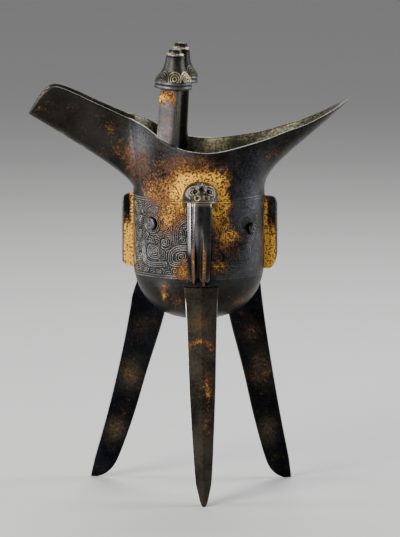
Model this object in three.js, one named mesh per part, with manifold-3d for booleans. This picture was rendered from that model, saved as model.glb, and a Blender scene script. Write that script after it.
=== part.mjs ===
// Tripod libation cup: a deep bowl on three blade legs, with a pouring spout, a pointed tail,
// two capped posts on the rim, a strap handle under an animal mask, three flanges and four eyes.
// Millimetres, +Z up. The spout points to -X, the tail to +X and the handle to -Y.

import * as THREE from 'three';
import { mergeVertices } from 'three/addons/utils/BufferGeometryUtils.js';
import Module from 'manifold-3d';

// Gap that neighbouring pieces keep at their joint.
const jointGap = 0.3;

// Bowl: an upright oval with straight sides and a rounded bottom.
const bellyHalfLength = 29.4;
const bellyHalfWidth = 26;
const bellyFloorZ = 77;
const bottomDepth = 29;
const bottomSquareness = 2.4;
const straightWallHeight = 30;
const wall = 2.2;
const floorThickness = 2.6;

// Mouth: the rim is lowest at mid length and climbs to the spout and to the tail.
const mouthHalfWidth = 28;
const mouthRise = 19.1;
const rimStepAtSpout = 13.1;

// Spout: an open channel with upright sides and a round bottom, narrower towards its lip.
const spoutReach = 47.1;
const spoutHalfWidth = 9;
const spoutLipHalfWidth = 6.4;
const spoutLipDrop = 9;
const spoutTopRise = 27.1;
const spoutEndTilt = 57.2;
const spoutEndCentreBack = 4.9;
const spoutEndCentreRise = 21.8;
const spoutLipAngle = 168.5;
const creaseOut = 0.6;
const creaseBack = 1.5;

// Tail: a shallow leaf that ends in a point.
const tailReach = 39.1;
const tailRise = 21.9;
const tailHalfWidth = 12.2;
const tailTipLand = 4.2;
const tailTipSlope = 0.5;
const tailKeelSag = 4.5;
const tailKeelReach = 26;

// How far a wall line climbs before it turns outwards, at the tail, the mouth and the spout.
const tailLift = 11;
const mouthLift = 6.4;
const spoutLift = 5;
const wallLineFullness = 0.45;
const partingReach = 2;

// Posts: six-sided prisms on the rim between mouth and spout, flat outside.
const postHeightAboveRim = 23.6;
const backPostDrop = 1.9;
const postRimShare = 0.816;
const postFaceWidth = 9.6;
const postDepth = 6.6;
const postRootLength = 9;
// Levels of a post's root: share of its length downwards, of the section and of its width, and how
// far its outer face stands back to stay within the wall.
const postRootLevels = [
  [1, 0.8, 0.9, 2.4],
  [0.67, 1, 1, 2.2],
];
const postTopTaper = 0.92;
const postBevel = 0.3;
const postBackWidth = 5.4;
const postFaceInset = 0.5;
const postLean = 3.6;
const backPostShift = 3.8;
const frontCapShift = 0.4;
const backCapShift = 2.9;
const tenonRadius = 2;
const tenonLength = 4;
const tenonClearance = 0.35;

// Caps: bells with a double ring at the rim and a button on top.
const capRadius = 8.4;
const capHeight = 17.7;
const capSides = 24;
// Outline of a cap from its underside to its top: shares of its radius and of its height.
const capProfile = [
  [0.94, 0],
  [1, 0.028],
  [1, 0.075],
  [0.95, 0.1],
  [1, 0.13],
  [0.99, 0.175],
  [0.93, 0.234],
  [0.81, 0.308],
  [0.69, 0.383],
  [0.616, 0.458],
  [0.54, 0.583],
  [0.5, 0.7],
  [0.485, 0.785],
  [0.47, 0.86],
  [0.37, 0.89],
  [0.35, 0.95],
  [0.2, 0.99],
  [0, 1],
];

// Handle: a strap that loops out from the wall, under an animal mask.
const strapWidth = 11.2;
const strapLowShare = 0.84;
const strapTaperStart = 0.4;
const strapTaperEnd = 0.85;
const strapThickness = 3.2;
const strapReach = 13.6;
const strapBottomZ = 96.6;
const strapGroove = 0.7;
const maskHalfWidth = 7.9;
const maskHeight = 10.8;
const maskBottomZ = 130.7;
const maskTilt = 4.2;
const strapSeatDepth = 5;
const maskReach = 13.8;
const maskFullness = 0.65;
const maskCentreX = 0.4;
const maskSides = 12;
const strapSteps = 22;
const hornRadius = 1.2;
const hornCurl = 2;
const hornCurlTightening = 0.05;
const hornStartAngle = -60;
const hornPointAngle = 38;
const hornSpread = 0.48;
const hornReach = 0.82;
const hornRise = 0.84;
const maskRootShare = 0.9;
// Levels of the mask: share of its height, of its half width and of its reach.
const maskLevels = [
  [0, 0.98, 0.95],
  [0.12, 1, 0.98],
  [0.3, 1, 1],
  [0.5, 0.96, 0.98],
  [0.7, 0.86, 0.9],
  [0.88, 0.66, 0.7],
  [1, 0.36, 0.36],
];
// Course of the strap from inside the mask down to the wall: share of its reach and half span.
const strapCourse = [
  [0.74, 1],
  [0.86, 0.82],
  [0.96, 0.52],
  [1, 0.15],
  [0.98, -0.25],
  [0.86, -0.6],
  [0.58, -0.86],
  [0.25, -0.98],
];

// Legs: blades of triangular section, flat outside, with a ridge inside.
const legTopZ = strapBottomZ - strapThickness / 2 - 2 * jointGap;
const legTopWidth = 14.6;
const legTopDepth = 15.5;
const legRidgeShare = 0.14;
const legLeanStart = 0.9;
const legTopSink = 1.4;
const frontFootRadius = 51.5;
const spoutFootRadius = 55.1;
const tailFootRadius = 47.2;
const frontLegProud = 1.3;
const spoutLegProud = 0.5;
const tailLegProud = -1.2;
const legs = [
  { name: 'leg_front', angle: -87.7, footRadius: frontFootRadius, proud: frontLegProud, sweep: 0.4 },
  {
    name: 'leg_spout_side', angle: 152.6, footRadius: spoutFootRadius, proud: spoutLegProud, sweep: 0.4,
  },
  { name: 'leg_tail_side', angle: 28.4, footRadius: tailFootRadius, proud: tailLegProud, sweep: 0.33 },
];
// Sections of a leg: share of its height, of its top width and of its top depth.
const legSections = [
  [0, 0.14, 0.22],
  [0.02, 0.27, 0.44],
  [0.058, 0.39, 0.6],
  [0.125, 0.55, 0.67],
  [0.31, 0.7, 0.725],
  [0.54, 0.84, 0.765],
  [0.767, 0.92, 0.9],
  [0.9, 0.98, 0.97],
  [0.95, 1.02, 0.99],
  [1, 1.07, 1],
];

// Flanges: flat plates with rounded outer corners, the lower one a quarter of an oval.
const flangeThickness = 3;
const flangeHeight = 33;
const flangeCornerRadius = 4;
const flangeLowCornerHeight = 3.2;
const tailFlangeLowCornerHeight = 9;
const flangeReach = 5.2;
const tailFlangeExtraReach = 0.7;
const spoutFlangeDrop = 5.4;
const tailFlangeDrop = 6.5;
const backFlangeDrop = 6.4;

// Eyes: round bosses in the middle of each quarter of the bowl.
const spoutEyeRadius = 3;
const tailEyeRadius = 2.6;
const eyeHeight = 1.9;
const spoutEyeAngle = 44.5;
const tailEyeAngle = 37.6;
const spoutEyeRise = 16.4;
const tailEyeRise = 13.8;

// How finely curved stretches are stepped.
const stepsPerRimSpan = 2;
const lipArcSteps = 4;
const bottomRows = 6;
const wallLineRows = 6;
const postSeatSteps = 100;
const tenonSides = 12;
const hornSides = 8;
const hornPoints = 8;
const hornSteps = 10;

const neckZ = bellyFloorZ + bottomDepth + straightWallHeight;
const straightWallZ = bellyFloorZ + bottomDepth;
const rimLowZ = neckZ + mouthRise;
const degree = Math.PI / 180;

const darkBronze = { color: 0x3c3d3b, roughness: 0.5, metalness: 0.75 };
const oliveBronze = { color: 0x55503f, roughness: 0.6, metalness: 0.6 };
const greyBronze = { color: 0x6b675c, roughness: 0.55, metalness: 0.65 };
const ochreBronze = { color: 0x8a6a35, roughness: 0.8, metalness: 0.3 };

const wasm = await Module();
wasm.setup();

// Turns a closed geometry into a solid that can be joined and cut.
function toSolid(geometry) {
  const bare = geometry.index ? geometry.toNonIndexed() : geometry.clone();
  bare.deleteAttribute('normal');
  bare.deleteAttribute('uv');
  const merged = mergeVertices(bare, 1e-4);
  const mesh = new wasm.Mesh({
    numProp: 3,
    vertProperties: new Float32Array(merged.attributes.position.array),
    triVerts: new Uint32Array(merged.index.array),
  });
  return new wasm.Manifold(mesh);
}

// Turns a solid back into a geometry.
function toGeometry(solid) {
  const mesh = solid.getMesh();
  const geometry = new THREE.BufferGeometry();
  geometry.setAttribute('position', new THREE.BufferAttribute(mesh.vertProperties, mesh.numProp));
  geometry.setIndex(new THREE.BufferAttribute(mesh.triVerts, 1));
  geometry.computeVertexNormals();
  return geometry;
}

// Closed solid through rings of points, each ring with the same count, ends closed by fans.
function loft(rings) {
  const count = rings[0].length;
  const positions = rings.flat().flatMap((p) => [p.x, p.y, p.z]);
  const index = [];
  for (let r = 0; r + 1 < rings.length; r += 1) {
    for (let i = 0; i < count; i += 1) {
      const next = (i + 1) % count;
      const a = r * count + i;
      const b = r * count + next;
      index.push(a, b, b + count, a, b + count, a + count);
    }
  }
  [rings[0], rings.at(-1)].forEach((ring, end) => {
    const centre = new THREE.Vector3();
    ring.forEach((p) => centre.add(p));
    centre.divideScalar(count);
    const hub = positions.length / 3;
    const first = end === 0 ? 0 : (rings.length - 1) * count;
    positions.push(centre.x, centre.y, centre.z);
    for (let i = 0; i < count; i += 1) {
      const next = (i + 1) % count;
      if (end === 0) index.push(hub, first + next, first + i);
      else index.push(hub, first + i, first + next);
    }
  });
  const geometry = new THREE.BufferGeometry();
  geometry.setAttribute('position', new THREE.Float32BufferAttribute(positions, 3));
  geometry.setIndex(index);
  return geometry;
}

// Half of the rim, from the tail's tip round to the middle of the spout's lip.
// Each row holds a rim point, the angle on the neck that its wall line rises from, and its lift.
function rimRows() {
  const tailRows = [
    [1, 0, 1, 0],
    [0.945, 0.33, 0.93, 3.5],
    [0.757, 0.705, 0.73, 9],
    [0.501, 1, 0.516, 17],
    [0.271, 1.1, 0.374, 26],
    [0.041, 1.34, 0.228, 37],
  ].map(([reach, across, rise, angle]) => [
    bellyHalfLength + reach * tailReach,
    across * tailHalfWidth,
    rimLowZ + rise * tailRise,
    angle,
    tailLift + ((mouthLift - tailLift) * angle) / 60,
  ]);
  const mouthRows = [
    [0.748, 0.73, 0.123, tailRise, 49],
    [0.408, 0.907, 0.032, tailRise, 66],
    [0.102, 1, 0, tailRise, 84],
    [-0.272, 0.943, 0.115, rimStepAtSpout, 107],
    [-0.578, 0.79, 0.405, rimStepAtSpout, 127],
    [-0.816, 0.58, 0.756, rimStepAtSpout, 144],
  ].map(([along, across, rise, scale, angle]) => [
    along * bellyHalfLength,
    across * mouthHalfWidth,
    rimLowZ + rise * scale,
    angle,
    mouthLift,
  ]);
  const crease = [
    -bellyHalfLength - creaseBack,
    spoutHalfWidth + creaseOut,
    rimLowZ + rimStepAtSpout,
    157.5,
    mouthLift,
  ];
  const sideRows = [
    [0.183, 0.601, 159.5],
    [0.352, 0.734, 161.5],
    [0.522, 0.875, 163],
    [0.65, 0.967, 164.2],
    [0.745, 1.004, 165.5],
    [0.826, 0.941, 167],
  ].map(([reach, rise, angle]) => [
    -bellyHalfLength - reach * spoutReach,
    THREE.MathUtils.lerp(spoutHalfWidth, spoutLipHalfWidth, reach),
    rimLowZ + rise * spoutTopRise,
    angle,
    spoutLift,
  ]);
  return { bowlSide: [...tailRows, ...mouthRows, crease], spoutSide: [crease, ...sideRows] };
}

// Point of the spout's round lower lip, set inwards by a distance, at an angle from its side (0)
// to its keel (90 degrees).
function lipArcRow(turn, inset) {
  const down = (spoutLipDrop - inset) * Math.sin(turn * degree);
  const endTilt = spoutEndTilt * degree;
  return [
    -bellyHalfLength - spoutReach + spoutEndCentreBack - down * Math.cos(endTilt),
    (spoutLipHalfWidth - inset) * Math.cos(turn * degree),
    rimLowZ + spoutEndCentreRise - down * Math.sin(endTilt),
  ];
}

// Passes a smooth curve through rows of numbers, one column at a time.
function smoothRows(rows, steps) {
  const columns = rows[0].map((_, c) => new THREE.CatmullRomCurve3(
    rows.map((row) => new THREE.Vector3(row[c], 0, 0)), false, 'catmullrom', 0.5));
  const count = (rows.length - 1) * steps;
  return Array.from({ length: count + 1 }, (_, i) => columns.map((c) => c.getPoint(i / count).x));
}

// The rim of one half as outer points and inset points, for a wall of a given inset.
function halfRim(inset) {
  const { bowlSide, spoutSide } = rimRows();
  const lipStart = lipArcRow(0, 0);
  const bowlRows = smoothRows(bowlSide, stepsPerRimSpan);
  const sideRows = smoothRows([...spoutSide, [...lipStart, spoutLipAngle, spoutLift]], stepsPerRimSpan);
  const plan = bowlRows.map((row, i) => {
    const before = bowlRows[Math.max(i - 1, 0)];
    const after = bowlRows[Math.min(i + 1, bowlRows.length - 1)];
    const tangent = new THREE.Vector2(after[0] - before[0], after[1] - before[1]).normalize();
    const tipShare = Math.max(0, 1 - (2 * i) / bowlRows.length) ** 4;
    const tipInset = (tailTipLand / wall) * inset * tipShare;
    const inwardY = i === 0 ? 0 : tangent.x * inset;
    const inwardX = i === 0 ? -inset : -tangent.y * inset;
    const tipDrop = tailTipSlope * (tipInset - inwardX * tipShare);
    const at = new THREE.Vector3(row[0] + inwardX - tipInset, row[1] + inwardY, row[2] - tipDrop);
    return { row, at };
  });
  const side = sideRows.slice(1).map((row) => (
    { row, at: new THREE.Vector3(row[0], row[1] - inset, row[2]) }));
  const lip = Array.from({ length: lipArcSteps }, (_, i) => {
    const share = (i + 1) / lipArcSteps;
    const [x, y, z] = lipArcRow(90 * share, inset);
    const angle = spoutLipAngle + (180 - spoutLipAngle) * share;
    return { row: [x, y, z, angle, spoutLift], at: new THREE.Vector3(x, y, z) };
  });
  return [...plan, ...side, ...lip];
}

// Rings of the vessel's surface, set inwards by a distance, from the bottom up to the rim.
function vesselRings(inset, floorInset, raise) {
  const half = halfRim(inset);
  const mirrored = half.slice(1, -1).reverse();
  const lines = [
    ...half.map((h) => ({ ...h, side: -1 })),
    ...mirrored.map((h) => ({ ...h, side: 1 })),
  ].reverse();
  const halfLength = bellyHalfLength - inset;
  const halfWidth = bellyHalfWidth - inset;
  const floorZ = bellyFloorZ + floorInset;
  const rings = [];
  for (let k = 1; k <= bottomRows; k += 1) {
    const turn = (k / bottomRows) * 90 * degree;
    const out = Math.sin(turn) ** (2 / bottomSquareness);
    const drop = Math.cos(turn) ** (2 / bottomSquareness);
    const z = straightWallZ - drop * (straightWallZ - floorZ);
    rings.push(lines.map(({ row, side }) => new THREE.Vector3(
      out * halfLength * Math.cos(row[3] * degree),
      out * halfWidth * Math.sin(row[3] * degree) * side, z)));
  }
  for (let k = 0; k <= wallLineRows; k += 1) {
    rings.push(lines.map(({ row, at, side }) => {
      const neck = new THREE.Vector3(
        halfLength * Math.cos(row[3] * degree),
        halfWidth * Math.sin(row[3] * degree) * side, neckZ);
      const rim = new THREE.Vector3(at.x, at.y * side, at.z + raise);
      const low = neck.clone().add(new THREE.Vector3(0, 0, row[4]));
      const high = rim.clone().lerp(low, wallLineFullness);
      high.z -= tailKeelSag * Math.max(0, 1 - (row[3] / tailKeelReach) ** 2) ** 2;
      return new THREE.CubicBezierCurve3(neck, low, high, rim).getPoint(k / wallLineRows);
    }));
  }
  return rings;
}

// The vessel's wall as one closed shell, grown on every side by a distance.
function vesselShell(grow) {
  const outer = vesselRings(-grow, -grow, grow);
  const inner = vesselRings(wall + grow, floorThickness + grow, grow);
  return toSolid(loft([...outer, ...inner.reverse()]));
}

const shell = vesselShell(0);
const grownShell = vesselShell(jointGap);

// Everything inside the grown outer surface, up to just above the mask.
const grownBody = toSolid(loft(
  vesselRings(-jointGap, -jointGap, 0).slice(0, bottomRows + 1 + Math.ceil(wallLineRows / 2))));

function box(sizeX, sizeY, sizeZ, x, y, z) {
  return toSolid(new THREE.BoxGeometry(sizeX, sizeY, sizeZ).translate(x, y, z));
}

const wholeLength = spoutReach + tailReach + 2 * bellyHalfLength;

// Block that holds everything beyond the parting face of the spout (-1) or of the tail (1).
function beyondParting(side, gap) {
  const face = side * (bellyHalfLength + partingReach + gap);
  return box(wholeLength, wholeLength, wholeLength, face + (side * wholeLength) / 2, 0, neckZ);
}

function makeBelly() {
  return shell.subtract(beyondParting(-1, 0)).subtract(beyondParting(1, 0));
}

// Where a post stands: the rim point at its share of the way from the tail's tip to the crease,
// the directions along and into the mouth there, and its height above that point.
function postSeat(side) {
  const rows = smoothRows(rimRows().bowlSide, postSeatSteps);
  const index = Math.round(postRimShare * (rows.length - 1));
  const [x, y, rimZ] = rows[index];
  const along = new THREE.Vector2(rows[index - 1][0] - x, y - rows[index - 1][1]).normalize();
  const inward = new THREE.Vector2(-along.y, along.x);
  const height = postHeightAboveRim - (side > 0 ? backPostDrop : 0);
  return { x, y, rimZ, height, along, inward };
}

// Post: a prism that tapers to its top and clasps the inside of the mouth with its root.
function makePost(side) {
  const seat = postSeat(side);
  const half = postFaceWidth / 2;
  const outline = [
    [-half, 0],
    [half, 0],
    [half + postBevel, postDepth / 2],
    [postBackWidth / 2, postDepth],
    [-postBackWidth / 2, postDepth],
    [-half - postBevel, postDepth / 2],
  ];
  const slant = Math.tan(postLean * degree);
  const middleDeep = postFaceInset + postDepth / 2;
  const section = (level, scale, narrowing, recess) => {
    const rise = Math.max(0, level);
    const middleX = seat.x + seat.inward.x * middleDeep + slant * rise;
    const ring = outline.map(([s, t]) => {
      const across = s * scale * narrowing;
      const deep = middleDeep + (t - postDepth / 2) * scale + recess * (1 - t / postDepth);
      const x = seat.x + seat.along.x * across + seat.inward.x * deep + slant * rise;
      const y = -seat.y + seat.along.y * across + seat.inward.y * deep;
      const tilt = rise > 0 ? slant * (x - middleX) : 0;
      const shiftedX = x + (side > 0 ? backPostShift : 0);
      return new THREE.Vector3(shiftedX, -side * y, seat.rimZ + level - tilt);
    });
    return side > 0 ? ring.reverse() : ring;
  };
  const rings = [
    ...postRootLevels.map(([down, ...shares]) => section(-down * postRootLength, ...shares)),
    section(0, 1, 1, 0),
    section(seat.height, postTopTaper, 1, 0),
  ];
  const tenon = new THREE.CylinderGeometry(tenonRadius, tenonRadius, 2 * tenonLength, tenonSides);
  tenon.rotateX(90 * degree).applyMatrix4(capPlace(side));
  return toSolid(loft(rings)).subtract(grownShell).add(toSolid(tenon));
}

// Where a cap stands: on its post's top, leaning with the post.
function capPlace(side) {
  const seat = postSeat(side);
  const deep = postFaceInset + postDepth / 2;
  const lean = Math.tan(postLean * degree) * seat.height;
  const x = seat.x + seat.inward.x * deep + lean + (side > 0 ? backCapShift : frontCapShift);
  const y = side * (seat.y - seat.inward.y * deep);
  return new THREE.Matrix4()
    .makeTranslation(x, y, seat.rimZ + seat.height)
    .multiply(new THREE.Matrix4().makeRotationY(postLean * degree));
}

// Cap: a turned bell with two rings at its rim, a collar, a button and a socket for the tenon.
function makeCap() {
  const socket = tenonRadius + tenonClearance;
  const profile = [
    [0, tenonLength + tenonClearance],
    [socket, tenonLength + tenonClearance],
    [socket, 0],
    ...capProfile.map(([r, z]) => [r * capRadius, z * capHeight]),
  ].map(([r, z]) => new THREE.Vector2(r, z));
  return new THREE.LatheGeometry(profile, capSides).rotateX(90 * degree);
}

// Mask: an animal's head in the round that bites the strap, with two curled horns and two eyes.
function makeMask(grow) {
  const rings = maskLevels.map(([rise, wide, deep]) => {
    const z = maskBottomZ - grow + rise * (maskHeight + 2 * grow);
    const front = Array.from({ length: maskSides + 1 }, (_, i) => {
      const turn = (i / maskSides) * 180 * degree;
      const x = maskCentreX - (maskHalfWidth * wide + grow) * Math.cos(turn);
      const out = (maskReach * deep + grow) * Math.sin(turn) ** maskFullness;
      return new THREE.Vector3(x, -bellyHalfWidth - out, z + (maskTilt * out) / maskReach);
    });
    const root = [1, -1].map((end) => new THREE.Vector3(
      maskCentreX + end * maskHalfWidth * wide * maskRootShare, -bellyHalfWidth + wall / 2, z));
    return [...front, ...root];
  });
  let head = toSolid(loft(rings));
  const browZ = maskBottomZ + hornRise * maskHeight;
  [-1, 1].forEach((side) => {
    const centre = new THREE.Vector3(
      maskCentreX + side * maskHalfWidth * hornSpread,
      -bellyHalfWidth - maskReach * hornReach,
      browZ);
    const coil = new THREE.CatmullRomCurve3(Array.from({ length: hornPoints }, (_, i) => {
      const turn = (hornStartAngle + i * hornPointAngle) * degree;
      const radius = hornCurl * (1 - hornCurlTightening * i);
      return new THREE.Vector3(
        centre.x + side * radius * Math.cos(turn), centre.y, centre.z + radius * Math.sin(turn));
    }));
    const round = new THREE.Shape(Array.from({ length: hornSides }, (_, i) => {
      const turn = (i / hornSides) * 360 * degree;
      return new THREE.Vector2(Math.cos(turn), Math.sin(turn)).multiplyScalar(hornRadius + grow);
    }));
    const horn = new THREE.ExtrudeGeometry(round, { steps: hornSteps, extrudePath: coil });
    const eye = new THREE.SphereGeometry(hornRadius + grow, 10, 8);
    eye.translate(centre.x, centre.y, centre.z);
    head = head.add(toSolid(horn)).add(toSolid(eye));
  });
  return head.subtract(grownBody);
}

// Strap: a grooved band that leaves the wall under the mask and comes back above the front leg.
function makeStrap() {
  const topZ = maskBottomZ + strapSeatDepth;
  const middleZ = (topZ + strapBottomZ) / 2;
  const halfSpan = (topZ - strapBottomZ) / 2;
  const root = [-wall / 2 / strapReach, -1];
  const path = new THREE.CatmullRomCurve3([...strapCourse, root].map(([reach, rise]) => (
    new THREE.Vector3(
      maskCentreX / 2, -bellyHalfWidth - reach * strapReach, middleZ + rise * halfSpan))));
  const half = strapWidth / 2;
  const thick = strapThickness / 2;
  const outline = [
    [-half, -thick * 0.4],
    [-half * 0.85, -thick],
    [half * 0.85, -thick],
    [half, -thick * 0.4],
    [half, thick * 0.3],
    [half * 0.5, thick],
    [0, thick - strapGroove],
    [-half * 0.5, thick],
    [-half, thick * 0.3],
  ];
  const rings = Array.from({ length: strapSteps + 1 }, (_, i) => {
    const share = i / strapSteps;
    const at = path.getPoint(share);
    const tangent = path.getTangent(share);
    const low = THREE.MathUtils.smoothstep(share, strapTaperStart, strapTaperEnd);
    const narrowing = THREE.MathUtils.lerp(1, strapLowShare, low);
    const outward = new THREE.Vector3(0, -1, 0).multiplyScalar(-tangent.z)
      .add(new THREE.Vector3(0, 0, -tangent.y)).normalize();
    return outline.map(([s, t]) => (
      new THREE.Vector3(at.x + s * narrowing, at.y, at.z).addScaledVector(outward, t)));
  });
  return toSolid(loft(rings)).subtract(grownBody).subtract(makeMask(jointGap));
}

// Leg: a tapering blade whose flat face stands on a circle that widens to the foot. Near its top
// the face leans back until it meets the bowl.
function makeLeg({ angle, footRadius, proud, sweep }) {
  const turn = angle * degree;
  const radial = new THREE.Vector3(Math.cos(turn), Math.sin(turn), 0);
  const tangent = new THREE.Vector3(-Math.sin(turn), Math.cos(turn), 0);
  const wallRadius = 1 / Math.hypot(radial.x / bellyHalfLength, radial.y / bellyHalfWidth);
  const topRadius = wallRadius + proud;
  const rings = legSections.map(([rise, wide, deep]) => {
    const fall = 1 - rise;
    const lean = THREE.MathUtils.smoothstep(rise, legLeanStart, 1) * (proud + legTopSink);
    const radius = topRadius - lean + (footRadius - topRadius) * fall * (1 - sweep + sweep * fall);
    const half = (legTopWidth * wide) / 2;
    const depth = legTopDepth * deep;
    return [
      [half, 0],
      [0, half * 0.06],
      [-half, 0],
      [-half * 0.57, -depth * 0.45],
      [-half * legRidgeShare, -depth],
      [half * legRidgeShare, -depth],
      [half * 0.57, -depth * 0.45],
    ].map(([s, r]) => new THREE.Vector3(0, 0, rise * legTopZ)
      .addScaledVector(radial, radius + r)
      .addScaledVector(tangent, s)).reverse();
  });
  return toSolid(loft(rings)).subtract(grownBody);
}

// Flange: a rounded plate on edge, rooted in the wall, turned to face away from the bowl.
// Its lower end drops below the level where the straight wall begins.
function makeFlange(wallDistance, reach, drop, lowCorner, turn) {
  const plate = new THREE.Shape();
  const corner = flangeCornerRadius;
  plate.moveTo(-wall / 2, 0);
  plate.lineTo(reach - corner, 0);
  plate.absellipse(reach - corner, lowCorner, corner, lowCorner, -90 * degree, 0, false);
  plate.lineTo(reach, flangeHeight - corner);
  plate.absarc(reach - corner, flangeHeight - corner, corner, 0, 90 * degree, false);
  plate.lineTo(-wall / 2, flangeHeight);
  const geometry = new THREE.ExtrudeGeometry(plate, {
    depth: flangeThickness, bevelEnabled: false, curveSegments: 5 });
  geometry.rotateX(90 * degree);
  geometry.translate(wallDistance, flangeThickness / 2, straightWallZ - drop);
  geometry.rotateZ(turn * degree);
  return toSolid(geometry).subtract(grownBody);
}

// Eye: a round boss on the wall.
function makeEye(endwise, sidewise, angle, radius, rise) {
  const at = new THREE.Vector3(
    endwise * bellyHalfLength * Math.cos(angle * degree),
    sidewise * bellyHalfWidth * Math.sin(angle * degree), straightWallZ + rise);
  const turn = Math.atan2(at.y / bellyHalfWidth ** 2, at.x / bellyHalfLength ** 2);
  const boss = new THREE.SphereGeometry(radius, 14, 8);
  boss.scale(eyeHeight / radius, 1, 1).rotateZ(turn).translate(at.x, at.y, at.z);
  return toSolid(boss).subtract(grownBody);
}

const cup = new THREE.Group();

function addPiece(name, shape, look) {
  const geometry = shape.isBufferGeometry ? shape : toGeometry(shape);
  const mesh = new THREE.Mesh(geometry, new THREE.MeshStandardMaterial(look));
  mesh.name = name;
  cup.add(mesh);
  return mesh;
}

addPiece('belly', makeBelly(), oliveBronze);
addPiece('spout', shell.intersect(beyondParting(-1, jointGap)), darkBronze);
addPiece('tail', shell.intersect(beyondParting(1, jointGap)), darkBronze);
[['front', -1], ['back', 1]].forEach(([place, side]) => {
  addPiece(`post_${place}`, makePost(side), darkBronze);
  const cap = addPiece(`post_cap_${place}`, makeCap(), greyBronze);
  cap.applyMatrix4(capPlace(side).multiply(new THREE.Matrix4().makeTranslation(0, 0, jointGap)));
  const spoutSideEye = makeEye(-1, side, spoutEyeAngle, spoutEyeRadius, spoutEyeRise);
  const tailSideEye = makeEye(1, side, tailEyeAngle, tailEyeRadius, tailEyeRise);
  addPiece(`eye_spout_side_${place}`, spoutSideEye, ochreBronze);
  addPiece(`eye_tail_side_${place}`, tailSideEye, ochreBronze);
});
addPiece('handle_strap', makeStrap(), darkBronze);
addPiece('handle_mask', makeMask(0), ochreBronze);
legs.forEach((leg) => addPiece(leg.name, makeLeg(leg), oliveBronze));
const tailReachOut = flangeReach + tailFlangeExtraReach;
const lowCorner = flangeLowCornerHeight;
const flanges = {
  flange_spout_side: [bellyHalfLength, flangeReach, spoutFlangeDrop, lowCorner, 180],
  flange_tail_side: [bellyHalfLength, tailReachOut, tailFlangeDrop, tailFlangeLowCornerHeight, 0],
  flange_back: [bellyHalfWidth, flangeReach, backFlangeDrop, lowCorner, 90],
};
Object.entries(flanges).forEach(([name, sizes]) => addPiece(name, makeFlange(...sizes), oliveBronze));

// The origin is the middle of the box round the whole cup, at the level of the feet.
cup.updateMatrixWorld(true);
const bounds = new THREE.Box3().setFromObject(cup, true);
const middle = bounds.getCenter(new THREE.Vector3());
cup.position.set(-middle.x, -middle.y, -bounds.min.z);

export default cup;
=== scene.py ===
import bpy
import numpy as np
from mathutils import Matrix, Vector


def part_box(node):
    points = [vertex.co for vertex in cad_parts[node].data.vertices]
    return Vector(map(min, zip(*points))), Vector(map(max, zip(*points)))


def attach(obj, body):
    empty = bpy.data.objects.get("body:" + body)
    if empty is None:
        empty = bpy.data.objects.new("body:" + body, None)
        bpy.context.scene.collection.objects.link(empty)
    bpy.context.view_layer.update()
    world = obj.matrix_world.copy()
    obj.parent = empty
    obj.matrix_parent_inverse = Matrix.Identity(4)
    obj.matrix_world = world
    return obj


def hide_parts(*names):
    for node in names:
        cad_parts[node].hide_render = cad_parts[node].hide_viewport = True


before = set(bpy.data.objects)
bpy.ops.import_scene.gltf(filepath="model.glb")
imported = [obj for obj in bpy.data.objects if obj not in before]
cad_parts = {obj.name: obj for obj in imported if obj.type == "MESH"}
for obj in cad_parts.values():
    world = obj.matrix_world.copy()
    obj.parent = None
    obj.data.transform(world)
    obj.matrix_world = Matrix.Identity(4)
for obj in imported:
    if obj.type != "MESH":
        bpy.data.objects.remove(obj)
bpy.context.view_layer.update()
scene = bpy.context.scene

# Frame: pieces are worked out in millimetres from the bowl's upright middle line, feet at zero.
MM = 0.001
TAU = 2 * np.pi
belly_low, belly_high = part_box("belly")
MIDDLE = np.array([(belly_low[0] + belly_high[0]) / 2, (belly_low[1] + belly_high[1]) / 2, 0.0])

# Sizes of the cup, in millimetres and degrees.
HALF_LENGTH = 29.4
HALF_WIDTH = 26.0
FLOOR_Z = 77.0
STRAIGHT_Z = 106.0
NECK_Z = 136.0
RIM_LOW_Z = 155.1
BOTTOM_SQUARENESS = 2.4
WALL = 2.2
FLOOR_THICKNESS = 2.6
MOUTH_HALF_WIDTH = 28.0
RIM_STEP_AT_SPOUT = 13.1
SPOUT_REACH = 47.1
SPOUT_HALF_WIDTH = 9.0
SPOUT_LIP_HALF_WIDTH = 6.4
SPOUT_LIP_DROP = 9.0
SPOUT_TOP_RISE = 27.1
SPOUT_END_TILT = np.radians(57.2)
SPOUT_END_BACK = 4.9
SPOUT_END_RISE = 21.8
SPOUT_LIP_ANGLE = 168.5
CREASE_OUT = 0.6
CREASE_BACK = 1.5
TAIL_REACH = 39.1
TAIL_RISE = 21.9
TAIL_HALF_WIDTH = 12.2
TAIL_TIP_LAND = 4.2
TAIL_TIP_SLOPE = 0.5
TAIL_KEEL_SAG = 4.5
TAIL_KEEL_REACH = np.radians(26)
TAIL_LIFT = 11.0
MOUTH_LIFT = 6.4
SPOUT_LIFT = 5.0
WALL_LINE_FULLNESS = 0.45
RIM_ROUND = 0.75

POST_HEIGHT = 23.6
BACK_POST_DROP = 1.9
POST_RIM_SHARE = 0.816
POST_FACE_WIDTH = 9.6
POST_DEPTH = 6.6
POST_ROOT = 9.0
POST_TAPER = 0.92
POST_BEVEL = 0.3
POST_BACK_WIDTH = 5.4
POST_INSET = 0.5
POST_LEAN = np.radians(3.6)
BACK_POST_SHIFT = 3.8
FRONT_CAP_SHIFT = 0.4
BACK_CAP_SHIFT = 2.9
CAP_RADIUS = 8.4
CAP_HEIGHT = 17.7
CAP_GAP = 0.3

STRAP_HALF_WIDTH = 5.6
STRAP_LOW_SHARE = 0.84
STRAP_TAPER_START = 0.4
STRAP_TAPER_END = 0.85
STRAP_THICKNESS = 3.2
STRAP_REACH = 13.6
STRAP_TOP_Z = 135.7
STRAP_BOTTOM_Z = 96.6
HANDLE_X = 0.4
MASK_HALF_WIDTH = 7.9
MASK_LOW_Z = 130.7
MASK_HEIGHT = 10.8
MASK_TILT = 4.2
MASK_REACH = 13.8

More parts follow.
